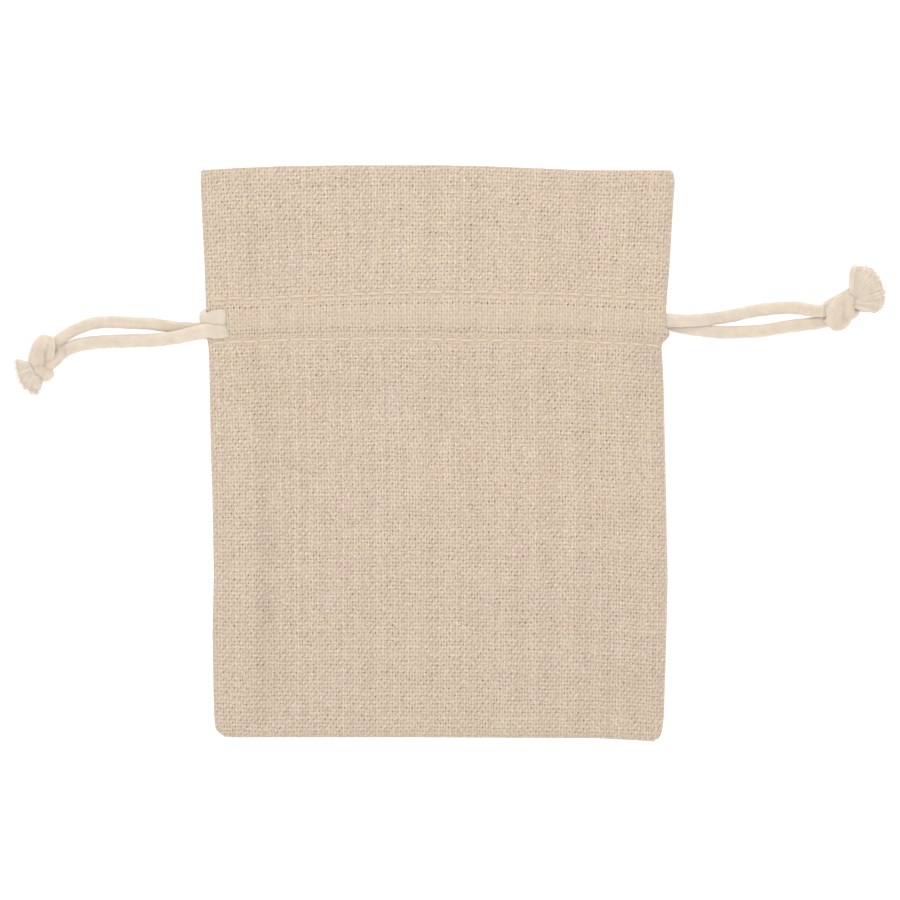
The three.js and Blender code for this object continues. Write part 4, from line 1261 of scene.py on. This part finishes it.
    # Painted light and shade: yarns are lighter on top and darker on their flanks, the casing that faces
    # up, the slope up to it and the cloth below the hem's end are lighter, the creases are darker in their
    # troughs and lighter on their ridges, and the cloth darkens towards the bottom as the light falls off.
    # The stitched bands are lighter, and the hue changes slowly.
    tone_and_painted_light = rescale(nodes, height, 0.55, 1.42, 0.92, 1.06, curve="LINEAR")
    lower = rescale(nodes, along, 0.0, -0.055)
    lightness = (
        (stitched, 0.04), (slope_painted_light, 0.036), (casing, 0.034), (crease_painted_shade, 100.0), (lower, -0.016),
        (below_hem_painted_light, 0.009),
    )
    for share, lighter in lightness:
        tone_and_painted_light = product_plus(nodes, share, lighter, tone_and_painted_light)
    cast = rescale(nodes, noise(nodes, lay, 300.0, 2.0), 0.35, 0.65)
    cast = blend_tones(nodes, cast, LINEN_ROSY, LINEN_STRAW)
    colour = blend_tones(nodes, 1.0, colour, cast, "MULTIPLY")
    colour = add(nodes, "VectorMath", {0: colour, "Scale": tone_and_painted_light}, operation="SCALE").outputs[0]
    relief = add(nodes, "Bump", {"Height": height, "Strength": 0.6, "Distance": 0.00016}).outputs[0]
    cloth = add(nodes, "BsdfPrincipled", {
        "Base Color": colour, "Roughness": 0.9, "Specular IOR Level": 0.2, "Normal": relief,
        "Sheen Weight": 0.08, "Sheen Roughness": 0.6,
    })
    add(nodes, "OutputMaterial", {"Surface": cloth.outputs[0]})
    return finish


pouch = make_piece("pouch_cloth", cloth_points, cloth_faces, cloth_lay)
# The finish also gets the creases' heights, on the front only, and paints shade in their troughs and light
# on their ridges.
crease_depths = np.zeros(len(cloth_points))
for level in range(len(outer_rows)):
    front = slice(level * ring_size, level * ring_size + columns)
    places = np.array(cloth_points[front])
    crease_depths[front] = crease_height(places[:, 0], places[:, 1])
pouch.data.attributes.new("crease", "FLOAT", "POINT").data.foreach_set("value", crease_depths)
thickness = pouch.modifiers.new("thickness", "SOLIDIFY")
thickness.thickness = CLOTH_THICK
thickness.offset = -1
thickness.use_rim = True
finish_piece(pouch, linen_finish(), "pouch")


# Stitching
# Two rows of lockstitch in light cream thread hold the hem and close the casing above and below. Each
# stitch lies on the cloth between two needle holes, in front and, as the bobbin thread, behind.
THREAD_RADIUS = 0.00036
THREAD_SIDES = 6
THREAD_TONE = tone(217, 201, 181)
THREAD_SHADE = tone(206, 189, 169)
STITCH_COUNT = 29
STITCH_STRAY = 0.00007
HOLE_RADIUS = 0.00006
# Each stitch dives into its holes by this depth, and this small power makes it dive only at its ends.
DIVE_DEPTH = 0.00028
DIVE_POWER = 0.4
# Shares of the thread's radius: how high its middle is over the cloth, and how thick it is at a hole.
THREAD_HEIGHT = 0.45
THREAD_AT_HOLE = 0.75


def thread_finish():
    """Twisted cream sewing thread."""
    finish, nodes = new_finish("cream_thread")
    place = add(nodes, "TexCoord").outputs["Object"]
    grain = noise(nodes, place, 2500.0, 2.0)
    colour = blend_tones(nodes, grain, THREAD_SHADE, THREAD_TONE)
    relief = add(nodes, "Bump", {"Height": grain, "Strength": 0.4, "Distance": 0.00005}).outputs[0]
    thread = add(nodes, "BsdfPrincipled", {
        "Base Color": colour, "Roughness": 0.8, "Specular IOR Level": 0.25, "Normal": relief,
    })
    add(nodes, "OutputMaterial", {"Surface": thread.outputs[0]})
    return finish


def cloth_level(x, row, behind):
    """Height of the cloth's outside at one place, in front or behind."""
    left, right = side_edges(row)
    side = min(x - left, right - x)
    height = back_height if behind else front_height
    return float(height(np.array([x]), np.array([row]), np.array([side]))[0])


def sew_row(name, line, row, behind, seed):
    """One row of stitches along a line of the casing."""
    chance = np.random.default_rng(seed)
    points = []
    faces = []
    stations = np.linspace(0, 1, 9)
    for hole in range(STITCH_COUNT):
        x0 = FIRST_HOLE_X + hole * STITCH_PITCH
        x1 = x0 + STITCH_PITCH
        aside = chance.normal(0, STITCH_STRAY, 2)
        ends = (x0 + HOLE_RADIUS, x1 - HOLE_RADIUS)
        faces.extend(tube_faces(len(points), len(stations), THREAD_SIDES))
        for t in stations:
            x = ends[0] + (ends[1] - ends[0]) * t
            y = float(read_off(line, x)) + aside[0] * (1 - t) + aside[1] * t
            level = cloth_level(x, row, behind)
            arch = math.sin(t * math.pi)
            rise = THREAD_RADIUS * THREAD_HEIGHT - DIVE_DEPTH * (1 - arch ** DIVE_POWER)
            z = max(level - rise, THREAD_RADIUS) if behind else level + rise
            radius = THREAD_RADIUS * (THREAD_AT_HOLE + (1 - THREAD_AT_HOLE) * arch)
            for k in range(THREAD_SIDES):
                turn = 2 * math.pi * k / THREAD_SIDES
                points.append((x, y + radius * math.cos(turn), z + radius * math.sin(turn)))
    return make_piece(name, points, faces)


cream_thread = thread_finish()
for line_name, line, face_name, seed in (
    ("low", STITCH_LOW, "front", 40), ("low", STITCH_LOW, "back", 41),
    ("high", STITCH_HIGH, "front", 42), ("high", STITCH_HIGH, "back", 43),
):
    name = f"stitches_{line_name}_{face_name}"
    stitches = sew_row(name, line, LINE_ROWS[line_name], face_name == "back", seed)
    finish_piece(stitches, cream_thread, "pouch")


# Table and light
# A plain pale table under even studio light that comes mostly from above and slightly from the top left,
# so soft that only the edges of the cords and the casing have a shade.
TABLE_REACH = 1.5
TABLE_BELOW = 0.00005
TABLE_GREY = (0.35, 0.35, 0.35, 1)
TABLE_GLOW = 0.8
WHITE = (1, 1, 1, 1)
AROUND_LIGHT = 1.1
LAMP_PLACE = (-0.04, 0.2, 0.4)
LAMP_SIDE = 0.35
LAMP_WATTS = 0.42

table_mesh = bpy.data.meshes.new("table")
table_corners = [(x * TABLE_REACH, y * TABLE_REACH, 0) for x, y in ((-1, -1), (1, -1), (1, 1), (-1, 1))]
table_mesh.from_pydata(table_corners, [], [(0, 1, 2, 3)])
table = bpy.data.objects.new("table", table_mesh)
table.location.z = -TABLE_BELOW
bpy.context.collection.objects.link(table)
table_finish = bpy.data.materials.new("pale_table")
table_finish.use_nodes = True
table_shader = table_finish.node_tree.nodes["Principled BSDF"]
table_shader.inputs["Base Color"].default_value = TABLE_GREY
table_shader.inputs["Roughness"].default_value = 0.9
table_shader.inputs["Emission Color"].default_value = WHITE
table_shader.inputs["Emission Strength"].default_value = TABLE_GLOW
table_mesh.materials.append(table_finish)

world = bpy.data.worlds.new("studio")
world.use_nodes = True
world.node_tree.nodes["Background"].inputs["Color"].default_value = WHITE
world.node_tree.nodes["Background"].inputs["Strength"].default_value = AROUND_LIGHT
bpy.context.scene.world = world

lamp_data = bpy.data.lights.new("soft_box", "AREA")
lamp_data.size = LAMP_SIDE
lamp_data.energy = LAMP_WATTS
lamp = bpy.data.objects.new("soft_box", lamp_data)
lamp.location = LAMP_PLACE
aim = -np.array(LAMP_PLACE)
lamp.rotation_euler = (
    math.acos(-aim[2] / np.linalg.norm(aim)), 0, math.atan2(aim[1], aim[0]) - math.pi / 2,
)
bpy.context.collection.objects.link(lamp)
